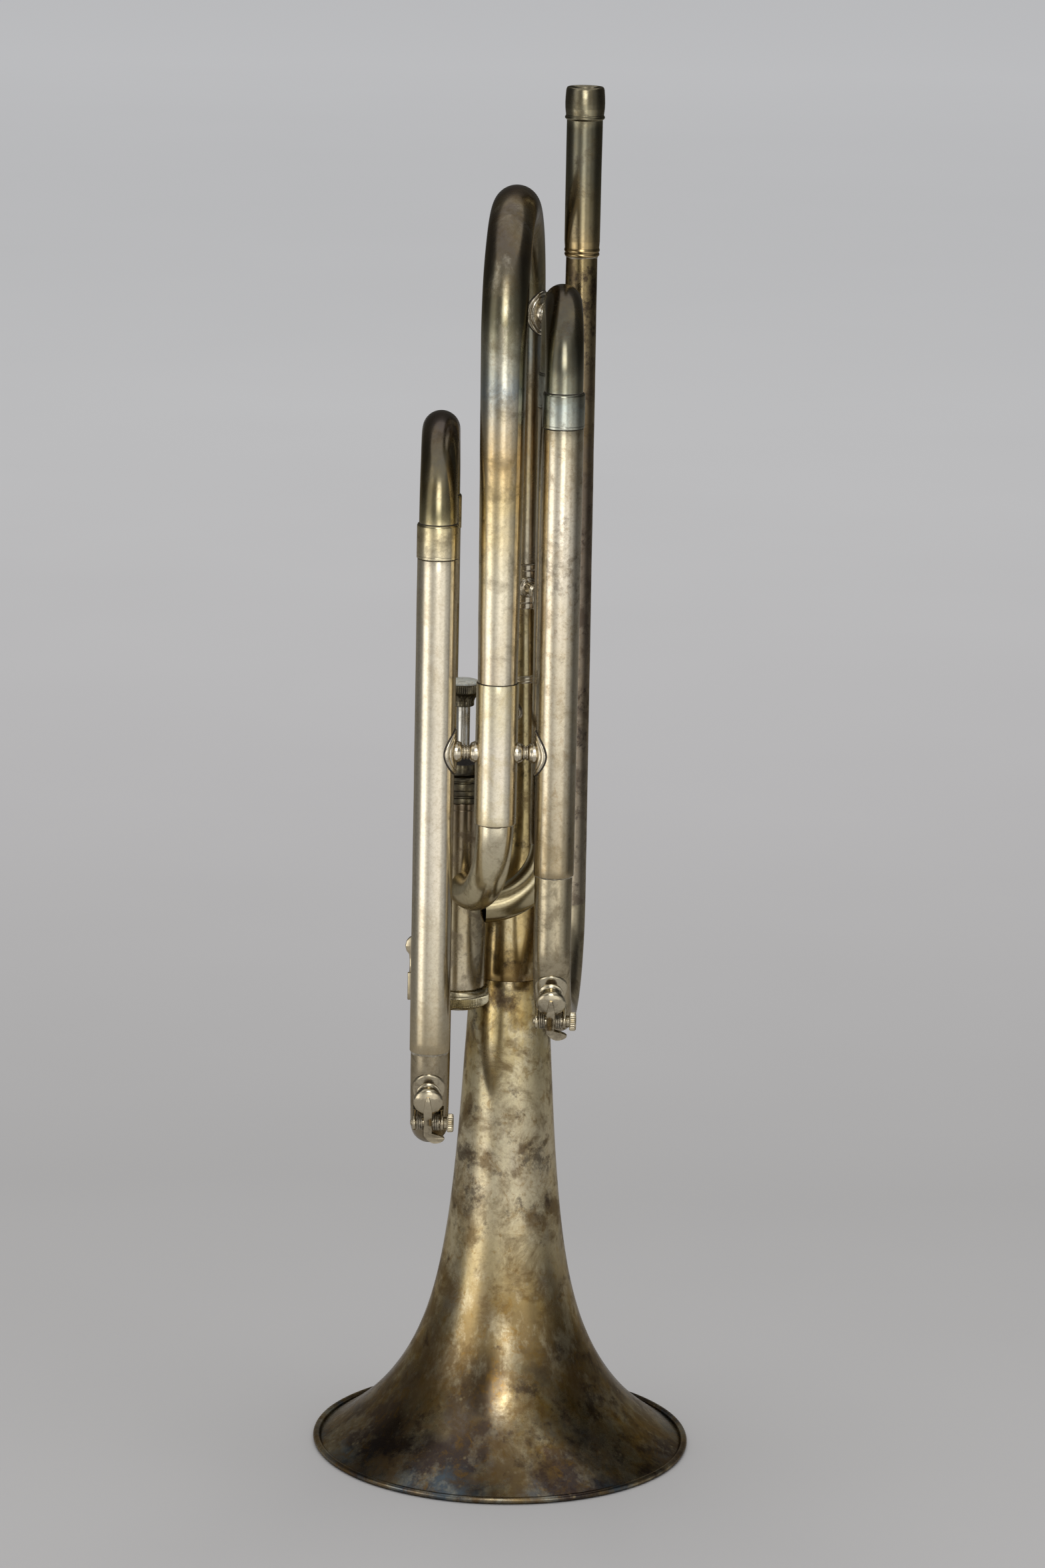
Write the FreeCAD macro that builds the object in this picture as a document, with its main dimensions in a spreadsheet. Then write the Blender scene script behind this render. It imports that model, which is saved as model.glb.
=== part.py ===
import FreeCAD, Part

import math
import os
import re

import Sketcher
from FreeCAD import Placement, Rotation, Vector

# A one-valve marching horn that stands on its bell.
#
# Frame: the origin is the centre of the bell rim's resting face, +Z runs up the bell axis,
# -Y is the side that carries the water keys and +X is the side of the leadpipe.
# All sizes are in millimetres.

SIZES = [
    # bell
    ("rim_radius", 77.5, "outside of the rolled bell rim"),
    ("bead_radius", 1.4, "round of the rolled rim"),
    ("bead_height", 1.25, "centre of the rolled rim above the resting face"),
    ("rim_wire_radius", 0.85, "wire rolled into the rim"),
    ("throat_radius", 25.3, "bell radius at the rim if it had no flare"),
    ("throat_taper", 0.0476, "loss of throat radius for each millimetre of height"),
    ("flare_height", 31.6, "height over which the flare falls to a third"),
    ("sheet", 0.8, "wall of the bell"),
    ("bell_seam_height", 200, "joint of bell and stem"),
    ("stem_top_height", 361, "joint of stem and bow"),
    ("stem_top_radius", 9.6, "stem at its upper joint"),
    ("stem_ring_height", 322, "bottom of the narrow ring on the stem"),
    ("stem_ring_length", 3, "height of the narrow ring"),
    ("ferrule_length", 18, "ferrule over the joint of stem and bow"),
    # bow, sleeve and outlet
    ("tube_wall", 0.7, "wall of every tube"),
    ("front_y", -85, "plane of the front row of tubes"),
    ("bow_x", -6.6, "front tube of the bow"),
    ("bow_height", 473, "centre of the bow's bend"),
    ("bow_front_radius", 7.55, "bow at its sleeve"),
    ("bow_bend_radius", 8.9, "tube of the bow's bend"),
    ("sleeve_low", 282.6, "lower end of the bow sleeve"),
    ("sleeve_length", 55.7, "length of the bow sleeve"),
    ("sleeve_radius", 8.25, "outside of the bow sleeve"),
    ("tube_radius", 7.3, "outside of the crooks and bends"),
    ("outlet_port_height", 247, "valve port that leads to the bell"),
    # leadpipe side
    ("pipe_x", 22.7, "leadpipe"),
    ("pipe_y", -13.8, "leadpipe"),
    ("pipe_top_height", 500, "leadpipe's end inside the receiver"),
    ("pipe_top_radius", 6.1, "outside of the leadpipe's small end"),
    ("right_bend_height", 233.6, "centre of the right bottom bend"),
    ("receiver_low", 494, "lower end of the mouthpiece receiver"),
    ("receiver_top", 560, "mouth of the receiver"),
    ("receiver_radius", 7.0, "outside of the receiver's sleeve"),
    ("receiver_lip_radius", 7.8, "outside of the receiver's barrel"),
    ("receiver_lip_length", 11.5, "height of the barrel"),
    ("socket_radius", 5.5, "bore that takes the mouthpiece shank"),
    ("socket_length", 26, "depth of the parallel bore"),
    # main tuning slide
    ("right_x", 16.5, "front leg of the main slide"),
    ("right_back_x", 14.6, "back leg of the main slide"),
    ("right_back_y", -36, "back leg of the main slide"),
    ("slide_radius", 7.85, "outside of the outer slide legs"),
    ("right_leg_low", 262.4, "lower end of the main slide's outer legs"),
    ("right_leg_top", 437.8, "upper end of the main slide's outer legs"),
    ("slide_ferrule_length", 13.4, "ferrule above each slide leg"),
    ("ferrule_radius", 8.1, "outside of the slide ferrules"),
    ("main_crook_height", 457.2, "centre of the main slide's bend"),
    ("inner_clearance", 0.05, "running fit of the inner slide tubes"),
    ("main_inner_length", 120, "length of the main slide's inner tubes"),
    ("inlet_port_height", 238, "valve port that comes from the mouthpiece"),
    # valve loop
    ("loop_x", -30.5, "plane of the valve loop"),
    ("loop_back_y", -20.5, "back legs of the valve loop"),
    ("loop_front_low", 190.7, "lower end of the front outer leg"),
    ("loop_leg_top", 386.4, "upper end of both outer legs"),
    ("loop_crook_height", 398.3, "centre of the valve slide's bend"),
    ("loop_bend_height", 184.6, "centre of the left bottom bend"),
    ("loop_elbow_radius", 11.4, "bend of the two short elbows"),
    ("loop_high_port", 256, "upper loop port"),
    ("loop_low_port", 226, "lower loop port"),
    ("loop_inner_length", 90, "length of the valve slide's inner tubes"),
    # valve
    ("valve_x", -20.2, "valve axis"),
    ("valve_y", -40, "valve axis"),
    ("casing_low", 205, "lower shoulder of the casing"),
    ("casing_top", 281.5, "upper shoulder of the casing"),
    ("casing_radius", 10.5, "outside of the casing"),
    ("casing_neck", 9.8, "threaded ends of the casing"),
    ("piston_radius", 8.5, "piston"),
    ("piston_clearance", 0.04, "running fit of the piston"),
    ("piston_low", 219, "bottom of the piston at rest"),
    ("piston_top", 281, "top of the piston at rest"),
    ("piston_stroke", 18, "travel of the piston"),
    ("passage_radius", 4.8, "passages through the piston"),
    ("port_radius", 5.5, "ports through the casing"),
    ("cap_radius", 11.2, "top cap"),
    ("bottom_cap_radius", 12.2, "bottom cap"),
    ("stem_radius", 2.75, "piston stem"),
    ("button_low", 319, "underside of the finger button"),
    ("button_radius", 7.7, "rim of the finger button"),
    # braces
    ("brace_height", 310.5, "three front braces"),
    ("leg_brace_height", 361, "brace from the stem ferrule to the main slide"),
    ("pipe_brace_height", 470, "brace from the bow to the leadpipe"),
    ("brace_ball", 3.75, "bulb at each end of a brace"),
    ("brace_foot", 4.2, "foot of a brace"),
    ("brace_neck", 2.4, "neck of a brace"),
    ("brace_ring", 3.0, "ring at the middle of a neck"),
    ("saddle_sheet", 0.9, "wall of a brace saddle"),
    ("saddle_half_width", 7.6, "brace saddle, across the tube"),
    ("saddle_half_height", 8.8, "brace saddle, along the tube"),
    # water keys, in a frame with its origin on the bend and +Z outwards
    ("right_key_angle", 25, "right key, degrees below the bend's centre"),
    ("left_key_angle", 14.5, "left key, degrees below the bend's centre"),
    ("pivot_back", -11, "hinge screw, along the tube"),
    ("pivot_rise", 3.6, "hinge screw, above the tube"),
    ("screw_radius", 1.25, "hinge screw"),
    ("screw_clearance", 0.05, "running fit of the hinge screw"),
    ("barrel_radius", 1.8, "hinge barrel of the lever"),
    ("lug_inside", 4.85, "inner faces of the saddle's lugs"),
    ("lug_sheet", 1.2, "thickness of a lug"),
    ("lug_round", 3.2, "round end of a lug"),
    ("cup_radius", 5.8, "pad cup"),
    ("cork_radius", 4.9, "cork pad"),
    ("nipple_radius", 4.0, "drain nipple"),
    ("nipple_height", 4.15, "drain nipple"),
    ("drain_radius", 1.8, "drain hole"),
    ("lever_half_width", 1.6, "lever strip"),
    ("coil_wire", 0.4, "radius of the key spring's wire"),
    ("coil_radius", 2.75, "key spring, middle of the wire"),
]

document = FreeCAD.newDocument("marching_horn")
sheet = document.addObject("Spreadsheet::Sheet", "Sizes")
for row, (alias, number, note) in enumerate(SIZES, 1):
    sheet.set(f"A{row}", note)
    sheet.set(f"B{row}", str(number))
    sheet.setAlias(f"B{row}", alias)
document.recompute()

FUNCTIONS = {"sqrt", "pow"}
pieces = []


def bound(text):
    """The expression with each size's name pointed at the sheet."""
    def name(match):
        word = match.group(0)
        return word if word in FUNCTIONS else "Sizes." + word
    return re.sub(r"\b[a-z][a-z0-9_]*\b", name, text)


def value(text):
    """The expression's present value."""
    result = sheet.evalExpression(bound(text))
    return float(getattr(result, "Value", result))


def bind(thing, path, text):
    thing.setExpression(path, bound(text))


def keep(piece, label):
    """Names a finished sub-part and lists it for export."""
    piece.Label = label
    pieces.append(piece)
    return piece


def place(thing, x, y, z, rotation=None):
    """Puts a sub-part at a point given by expressions."""
    thing.Placement = Placement(Vector(value(x), value(y), value(z)), rotation or Rotation())
    for letter, text in zip("xyz", (x, y, z)):
        bind(thing, "Placement.Base." + letter, text)
    return thing


# ---------------------------------------------------------------- sketches

def new_body(name):
    return document.addObject("PartDesign::Body", name)


def new_sketch(body, role, lift="0"):
    """A sketch on one of the body's origin planes, moved along the plane's normal."""
    sketch = body.newObject("Sketcher::SketchObject", "outline")
    plane = next(item for item in body.Origin.OriginFeatures if item.Role == role)
    sketch.AttachmentSupport = (plane, [""])
    sketch.MapMode = "FlatFace"
    bind(sketch, "AttachmentOffset.Base.z", lift)
    return sketch


def fix_point(sketch, index, position, across, up):
    """Ties one point of the sketch to two expressions."""
    for kind, text in (("DistanceX", across), ("DistanceY", up)):
        number = sketch.addConstraint(Sketcher.Constraint(kind, index, position, value(text)))
        bind(sketch, f"Constraints[{number}]", text)


def arc_middle(start, end, bulge):
    """The middle of an arc of that radius; a positive radius bows to the left of start-end."""
    chord = end - start
    half = chord.Length / 2
    radius = abs(bulge)
    rise = radius - math.sqrt(radius * radius - half * half)
    left = Vector(-chord.y, chord.x, 0).normalize()
    return (start + end) / 2 + left * math.copysign(rise, bulge)


def draw(sketch, corners):
    """A closed outline. A corner is (across, up) after a line, or (across, up, radius) after an arc."""
    points = [Vector(value(corner[0]), value(corner[1]), 0) for corner in corners]
    ends = []
    for i, corner in enumerate(corners):
        start, end = points[i - 1], points[i]
        if len(corner) == 3:
            middle = arc_middle(start, end, value(corner[2]))
            edge = Part.Arc(start, middle, end)
        else:
            edge = Part.LineSegment(start, end)
        index = sketch.addGeometry(edge, False)
        forward = sketch.getPoint(index, 2).distanceToPoint(end) < 1e-6
        ends.append((index, 1 if forward else 2, 2 if forward else 1))
    for i, (index, first, last) in enumerate(ends):
        before = ends[i - 1]
        sketch.addConstraint(Sketcher.Constraint("Coincident", before[0], before[2], index, first))
        fix_point(sketch, index, last, corners[i][0], corners[i][1])
        if len(corners[i]) == 3:
            size = corners[i][2].lstrip("-")
            number = sketch.addConstraint(Sketcher.Constraint("Radius", index, value(size)))
            bind(sketch, f"Constraints[{number}]", size)


def draw_circle(sketch, across, up, radius):
    centre = Vector(value(across), value(up), 0)
    circle = Part.Circle(centre, Vector(0, 0, 1), value(radius))
    index = sketch.addGeometry(circle, False)
    fix_point(sketch, index, 3, across, up)
    number = sketch.addConstraint(Sketcher.Constraint("Radius", index, value(radius)))
    bind(sketch, f"Constraints[{number}]", radius)


def draw_axis(sketch, across):
    """An upright construction line to turn about."""
    foot = Vector(value(across), 0, 0)
    line = Part.LineSegment(foot, foot + Vector(0, 10, 0))
    index = sketch.addGeometry(line, True)
    fix_point(sketch, index, 1, across, "0")
    fix_point(sketch, index, 2, across, "10")


# ---------------------------------------------------------------- features

def turn(body, corners, axis="0"):
    """Revolves an outline of (radius, height) corners about an upright axis."""
    sketch = new_sketch(body, "XZ_Plane")
    draw(sketch, [(f"{axis} + {corner[0]}",) + tuple(corner[1:]) for corner in corners])
    draw_axis(sketch, axis)
    feature = body.newObject("PartDesign::Revolution", "turned")
    feature.Profile = sketch
    feature.ReferenceAxis = (sketch, ["Axis0"])
    feature.Angle = 360
    return feature


def pad(body, sketch, length, both_ways=False):
    feature = body.newObject("PartDesign::Pad", "pad")
    feature.Profile = sketch
    bind(feature, "Length", length)
    feature.Midplane = both_ways
    return feature


def straight(body, across, low, length, outer, bore):
    """A length of upright tube."""
    sketch = new_sketch(body, "XY_Plane", low)
    draw_circle(sketch, across, "0", outer)
    draw_circle(sketch, across, "0", bore)
    return pad(body, sketch, length)


def level(body, start, height, length, outer, bore):
    """A length of tube along the body's X axis."""
    sketch = new_sketch(body, "YZ_Plane", start)
    draw_circle(sketch, "0", height, outer)
    draw_circle(sketch, "0", height, bore)
    return pad(body, sketch, length)


def bend(body, height, bend_radius, outer, bore, sweep, rises):
    """A bend that leaves an upright tube on the body's Z axis towards its +X side."""
    sketch = new_sketch(body, "XY_Plane", height)
    draw_circle(sketch, "0", "0", outer)
    draw_circle(sketch, "0", "0", bore)
    draw_axis(sketch, bend_radius)
    feature = body.newObject("PartDesign::Revolution", "bend")
    feature.Profile = sketch
    feature.ReferenceAxis = (sketch, ["Axis0"])
    feature.Angle = sweep
    feature.Reversed = not rises
    return feature


def heading(start, end):
    """The turn about Z that points +X from one point of the plan to another."""
    x, y = (value(b) - value(a) for a, b in zip(start, end))
    return Rotation(Vector(0, 0, 1), math.degrees(math.atan2(y, x)))


def spacing(start, end):
    """The expression for the distance between two points of the plan."""
    return f"sqrt(pow({end[0]} - ({start[0]}); 2) + pow({end[1]} - ({start[1]}); 2))"


def cylinder(x, y, z, radius, length, rotation=None):
    solid = document.addObject("Part::Cylinder", "cylinder")
    bind(solid, "Radius", radius)
    bind(solid, "Height", length)
    return place(solid, x, y, z, rotation)


def cut(base, *tools):
    result = base
    for tool in tools:
        smaller = document.addObject("Part::Cut", "cut")
        smaller.Base = result
        smaller.Tool = tool
        result = smaller
    return result


def group(label, members):
    compound = document.addObject("Part::Compound", label)
    compound.Links = members
    return keep(compound, label)


def plain_tube(x, y, low, length, outer, bore):
    """An upright tube from two cylinders."""
    return cut(cylinder(x, y, low, outer, length), cylinder(x, y, low, bore, length))


# ---------------------------------------------------------------- bell and stem

FRONT = "front_y"
BELL = ("0", "0")
BOW = ("bow_x", FRONT)
PIPE = ("pipe_x", "pipe_y")
RIGHT = ("right_x", FRONT)
RIGHT_BACK = ("right_back_x", "right_back_y")
LOOP = ("loop_x", FRONT)
LOOP_BACK = ("loop_x", "loop_back_y")
VALVE = ("valve_x", "valve_y")
PORT_BORE = "tube_radius - tube_wall"


def flare_radius(height):
    """Outside radius of the bell: a tapering throat and an exponential flare."""
    throat = value("throat_radius") - value("throat_taper") * height
    opening = value("rim_radius") - value("bead_radius") / 2 - value("throat_radius")
    return throat + opening * math.exp(-height / value("flare_height"))


def bell_flare():
    seam, wall, lift = value("bell_seam_height"), value("sheet"), value("bead_height")
    heights = [lift + (seam - lift) * (step / 14) ** 1.8 for step in range(15)]
    outside = [Vector(flare_radius(z), 0, z) for z in heights]
    inside = []
    for z in heights:
        slope = (flare_radius(z + 0.5) - flare_radius(z - 0.5))
        normal = Vector(-1, 0, slope).normalize()
        inside.append(Vector(flare_radius(z), 0, z) + normal * wall)
    inside[-1].z = seam
    outer, inner = Part.BSplineCurve(), Part.BSplineCurve()
    outer.interpolate(outside)
    inner.interpolate(inside)
    ends = [Part.makeLine(outside[-1], inside[-1]), Part.makeLine(inside[0], outside[0])]
    profile = Part.Wire(Part.__sortEdges__([outer.toShape(), inner.toShape()] + ends))
    sheet_metal = Part.Face(profile).revolve(Vector(), Vector(0, 0, 1), 360)

    centre, bead = value("rim_radius - bead_radius"), value("bead_radius")
    roll = Part.makeTorus(centre, bead, Vector(0, 0, lift))
    below = Part.makeCylinder(centre + 2 * bead, 2 * bead, Vector(0, 0, -2 * bead))
    core = Part.makeTorus(centre, value("rim_wire_radius") + 0.05, Vector(0, 0, lift))
    feature = document.addObject("Part::Feature", "bell_flare")
    feature.Shape = sheet_metal.fuse(roll).cut(below).cut(core).removeSplitter()
    feature.Placement = Placement()
    keep(feature, "bell_flare")


def rim_wire():
    wire = document.addObject("Part::Torus", "rim_wire")
    bind(wire, "Radius1", "rim_radius - bead_radius")
    bind(wire, "Radius2", "rim_wire_radius")
    place(wire, "0", "0", "bead_height")
    keep(wire, "rim_wire")


def stem():
    body = new_body("bell_stem")
    foot = f"{flare_radius(value('bell_seam_height')):.3f}"
    turn(body, [(foot, "bell_seam_height"), ("stem_top_radius", "stem_top_height"),
                ("stem_top_radius - sheet", "stem_top_height"), (foot + " - sheet", "bell_seam_height")])
    place(body, "0", "0", "0")
    keep(body, "bell_stem")


def collar(label, low, length, bore, wall):
    """A ring with softened edges around the stem."""
    body = new_body(label)
    soft = "0.35"
    turn(body, [(bore, "0"), (f"{bore} + {wall} - {soft}", "0"), (f"{bore} + {wall}", soft, "-" + soft),
                (f"{bore} + {wall}", f"{length} - {soft}"), (f"{bore} + {wall} - {soft}", length, "-" + soft),
                (bore, length)])
    place(body, "0", "0", low)
    keep(body, label)


# ---------------------------------------------------------------- bow, sleeve and outlet

def bow():
    """Front tube, half turn and back tube in one plane; the tube widens towards the bell."""
    body = new_body("bow_tube")
    far = spacing(BOW, BELL)
    low = "sleeve_low + sleeve_length - 14"
    wide, narrow = "bow_bend_radius", "bow_front_radius"
    turn(body, [(narrow, low), (wide, "bow_height"), (wide + " - tube_wall", "bow_height"),
                (narrow + " - tube_wall", low)])
    bend(body, "bow_height", far + " / 2", wide, wide + " - tube_wall", 180, True)
    turn(body, [("stem_top_radius", "stem_top_height"), (wide, "bow_height"),
                (wide + " - tube_wall", "bow_height"), ("stem_top_radius - tube_wall", "stem_top_height")],
         axis=far)
    place(body, *BOW, "0", heading(BOW, BELL))
    keep(body, "bow_tube")


def bow_sleeve():
    """A parallel sleeve with a countersunk mouth that takes the end of the bow."""
    body = new_body("bow_sleeve")
    bore = "bow_front_radius + 0.15"
    turn(body, [(bore, "0"), ("sleeve_radius - 0.3", "0"), ("sleeve_radius", "0.3", "-0.3"),
                ("sleeve_radius", "sleeve_length"), (bore, "sleeve_length")])
    place(body, *BOW, "sleeve_low")
    keep(body, "bow_sleeve")


def port_crook(label, start, top, port_height, port_name, plug):
    """A tube that drops, turns level and ends on the valve casing; its upper end sits in a sleeve."""
    body = new_body(port_name)
    turn_radius = f"{top} - {port_height}"
    straight(body, "0", top, plug, "tube_radius", PORT_BORE)
    bend(body, top, turn_radius, "tube_radius", PORT_BORE, 90, False)
    reach = f"{spacing(start, VALVE)} - ({turn_radius})"
    level(body, turn_radius, port_height, f"{reach} - casing_radius + 3", "tube_radius", PORT_BORE)
    place(body, *start, "0", heading(start, VALVE))
    casing = cylinder(*VALVE, "casing_low", "casing_radius + 0.02", "casing_top - casing_low")
    keep(cut(body, casing), label)


# ---------------------------------------------------------------- leadpipe side

def leadpipe():
    body = new_body("leadpipe")
    low, high = "right_bend_height", "pipe_top_height"
    turn(body, [("tube_radius", low), ("pipe_top_radius", high), ("pipe_top_radius - tube_wall", high),
                (PORT_BORE, low)])
    place(body, *PIPE, "0")
    keep(body, "leadpipe")


def receiver():
    """Double ring, long sleeve, bead and barrel, with the mouthpiece bore at the top."""
    body = new_body("mouthpiece_receiver")
    tall = "receiver_top - receiver_low"
    lip = f"{tall} - receiver_lip_length"
    grip = "pipe_top_radius + 0.1"
    turn(body, [
        (grip, "0"), ("6.55", "0"), ("6.9", "0.7", "-0.7"), ("6.65", "1.5"), ("7", "2.2", "-0.8"),
        ("6.8", "3.1"), ("receiver_radius", "6"), ("receiver_radius + 0.05", f"{lip} - 1.1"),
        ("receiver_lip_radius + 0.1", f"{lip} - 0.4", "-0.9"), ("receiver_lip_radius - 0.35", f"{lip} + 0.6"),
        ("receiver_lip_radius", f"{lip} + 5", "-25"), ("receiver_lip_radius - 0.5", f"{tall} - 0.4", "-25"),
        ("receiver_lip_radius - 0.9", tall, "-0.6"), ("socket_radius + 0.9", tall), ("socket_radius", f"{tall} - 2"),
        ("socket_radius", f"{tall} - 2 - socket_length"), ("pipe_top_radius - tube_wall", f"{tall} - 30"),
        ("pipe_top_radius - tube_wall", "8"), (grip, "7.5")])
    place(body, *PIPE, "receiver_low")
    keep(body, "mouthpiece_receiver")


def bottom_bend(label, front, back, height, seam, drain_angle):
    """A half turn between two upright tubes, with a drain hole at the front."""
    body = new_body(label + "_blank")
    half = spacing(front, back) + " / 2"
    if value(seam) > value(height):
        straight(body, "0", height, f"{seam} - {height}", "tube_radius", PORT_BORE)
    bend(body, height, half, "tube_radius", PORT_BORE, 180, False)
    place(body, *front, "0", heading(front, back))
    drain = document.addObject("Part::Cylinder", "drain")
    bind(drain, "Radius", "drain_radius")
    bind(drain, "Height", "8")
    drain.Placement = key_frame(front, height, half, drain_angle).multiply(Placement(Vector(0, 0, -4), Rotation()))
    keep(cut(body, drain), label)


def key_frame(front, height, half, angle):
    """The frame of a water key: origin on the bend's outside, +Z outwards, +Y up the tube."""
    below = math.radians(value(angle))
    reach = value(half) + value("tube_radius")
    y = value(front[1]) + value(half) - reach * math.cos(below)
    z = value(height) - reach * math.sin(below)
    return Placement(Vector(value(front[0]), y, z), Rotation(Vector(1, 0, 0), 90 + value(angle)))


# ---------------------------------------------------------------- slides

def outer_leg(label, at, low, top):
    """An outer slide leg; it also takes the end of the tube below it."""
    leg = plain_tube(*at, low, f"{top} - ({low})", "slide_radius", "tube_radius + 0.01")
    keep(leg, label)


def slide(name, front, back, leg_top, crook_height, inner_length):
    """The moving part of a tuning slide: two inner tubes, two ferrules and the bend."""
    inner = "tube_radius + 0.01 - inner_clearance"
    tubes = [plain_tube(*at, f"{leg_top} - {inner_length}", f"{inner_length} + 4", inner,
                        inner + " - 0.6") for at in (front, back)]
    group(name + "_inner_tubes", tubes)
    rings = []
    for at in (front, back):
        ring = new_body(name + "_ferrule")
        turn(ring, [(inner + " + 0.02", "0.1"), ("ferrule_radius - 0.25", "0.1"),
                    ("ferrule_radius", "0.35", "-0.25"), ("ferrule_radius", "slide_ferrule_length - 0.25"),
                    ("ferrule_radius - 0.25", "slide_ferrule_length", "-0.25"),
                    ("tube_radius + 0.02", "slide_ferrule_length"), ("tube_radius + 0.02", "4.5"),
                    (inner + " + 0.02", "4.5")])
        rings.append(place(ring, *at, leg_top))
    group(name + "_ferrules", rings)
    crook = new_body(name + "_crook")
    foot = f"{leg_top} + 5"
    half = spacing(front, back) + " / 2"
    straight(crook, "0", foot, f"{crook_height} - ({foot})", "tube_radius", PORT_BORE)
    bend(crook, crook_height, half, "tube_radius", PORT_BORE, 180, True)
    straight(crook, f"2 * {half}", foot, f"{crook_height} - ({foot})", "tube_radius", PORT_BORE)
    place(crook, *front, "0", heading(front, back))
    keep(crook, name + "_crook")


def loop_elbow(label, port_height, rises, leg_end):
    """A short elbow from a loop port to one of the back legs."""
    body = new_body(label + "_blank")
    start = f"{port_height} {'+' if rises else '-'} loop_elbow_radius"
    low, high = (start, leg_end) if rises else (leg_end, start)
    straight(body, "0", low, f"{high} - ({low})", "tube_radius", PORT_BORE)
    bend(body, start, "loop_elbow_radius", "tube_radius", PORT_BORE, 90, not rises)
    reach = f"{spacing(LOOP_BACK, VALVE)} - loop_elbow_radius"
    level(body, "loop_elbow_radius", port_height, f"{reach} - casing_radius + 3", "tube_radius", PORT_BORE)
    place(body, *LOOP_BACK, "0", heading(LOOP_BACK, VALVE))
    casing = cylinder(*VALVE, "casing_low", "casing_radius + 0.02", "casing_top - casing_low")
    keep(cut(body, casing), label)


# ---------------------------------------------------------------- valve

def toward(at):
    """The compass angle from the valve axis to a point of the plan, in degrees."""
    return math.degrees(math.atan2(value(at[1]) - value(VALVE[1]), value(at[0]) - value(VALVE[0])))


def valve_casing():
    body = new_body("casing_blank")
    bore = "piston_radius + piston_clearance"
    turn(body, [(bore, "casing_low - 4"), ("casing_neck", "casing_low - 4"), ("casing_neck", "casing_low"),
                ("casing_radius", "casing_low"), ("casing_radius", "casing_top"), ("casing_neck", "casing_top"),
                ("casing_neck", "casing_top + 4"), (bore, "casing_top + 4")])
    place(body, *VALVE, "0")
    ports = [(BOW, "outlet_port_height"), (RIGHT_BACK, "inlet_port_height"),
             (LOOP_BACK, "loop_high_port"), (LOOP_BACK, "loop_low_port")]
    drills = []
    for at, height in ports:
        aim = Rotation(Vector(0, 0, 1), toward(at)).multiply(Rotation(Vector(0, 1, 0), 90))
        drills.append(cylinder(*VALVE, height, "port_radius", "casing_radius + 2", aim))
    keyway = document.addObject("Part::Box", "keyway")
    for side, text in (("Length", "9.3"), ("Width", "3"), ("Height", "casing_top - 254 + 5")):
        bind(keyway, side, text)
    turned = Rotation(Vector(0, 0, 1), GUIDE_ANGLE)
    edge = turned.multVec(Vector(0, -1.5, 0))
    keyway.Placement = Placement(Vector(value(VALVE[0]), value(VALVE[1]), 254) + edge, turned)
    keep(cut(body, *drills, keyway), "valve_casing")


GUIDE_ANGLE = 205


def piston_guide():
    guide = document.addObject("Part::Box", "piston_guide")
    for side, text in (("Length", "piston_radius + 0.6 - 6.5"), ("Width", "2.7"), ("Height", "5")):
        bind(guide, side, text)
    turned = Rotation(Vector(0, 0, 1), GUIDE_ANGLE)
    corner = turned.multVec(Vector(6.5, -1.35, 0))
    guide.Placement = Placement(Vector(value(VALVE[0]), value(VALVE[1]), 273) + corner, turned)
    keep(guide, "piston_guide")


def wall_point(at, height, reach):
    angle = math.radians(toward(at))
    x = value(VALVE[0]) + reach * math.cos(angle)
    y = value(VALVE[1]) + reach * math.sin(angle)
    return Vector(x, y, value(height))


def piston():
    """A solid piston with three straight passages, a spring pocket below and a threaded top."""
    body = new_body("piston_blank")
    deep = "piston_low + 12"
    turn(body, [("0", deep), ("6", deep), ("6", "piston_low"), ("piston_radius", "piston_low"),
                ("piston_radius", "piston_top"), ("stem_radius - 0.5", "piston_top"),
                ("stem_radius - 0.5", "piston_top - 1.5"), ("0", "piston_top - 1.5")])
    place(body, *VALVE, "0")
    stroke = " + piston_stroke"
    passages = [(RIGHT_BACK, "inlet_port_height", BOW, "outlet_port_height"),
                (RIGHT_BACK, "inlet_port_height" + stroke, LOOP_BACK, "loop_low_port" + stroke),
                (LOOP_BACK, "loop_high_port" + stroke, BOW, "outlet_port_height" + stroke)]
    drills = []
    for start_at, start_height, end_at, end_height in passages:
        start = wall_point(start_at, start_height, value("piston_radius"))
        end = wall_point(end_at, end_height, value("piston_radius"))
        way = (end - start).normalize()
        drill = document.addObject("Part::Cylinder", "passage")
        bind(drill, "Radius", "passage_radius")
        drill.Height = (end - start).Length + 16
        drill.Placement = Placement(start - way * 8, Rotation(Vector(0, 0, 1), way))
        drills.append(drill)
    slot = document.addObject("Part::Box", "guide_slot")
    for side, text in (("Length", "4"), ("Width", "2.72"), ("Height", "5.02")):
        bind(slot, side, text)
    turned = Rotation(Vector(0, 0, 1), GUIDE_ANGLE)
    corner = turned.multVec(Vector(6.48, -1.36, 0))
    slot.Placement = Placement(Vector(value(VALVE[0]), value(VALVE[1]), 272.99) + corner, turned)
    keep(cut(body, *drills, slot), "piston")


def piston_stem():
    body = new_body("piston_stem")
    low, thread, high = "piston_top - 1.5", "stem_radius - 0.55", "button_low + 4"
    turn(body, [("0", low), (thread, low), (thread, "piston_top"), ("stem_radius", "piston_top"),
                ("stem_radius", "button_low"), (thread, "button_low"), (thread, high), ("0", high)])
    place(body, *VALVE, "0")
    keep(body, "piston_stem")


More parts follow.
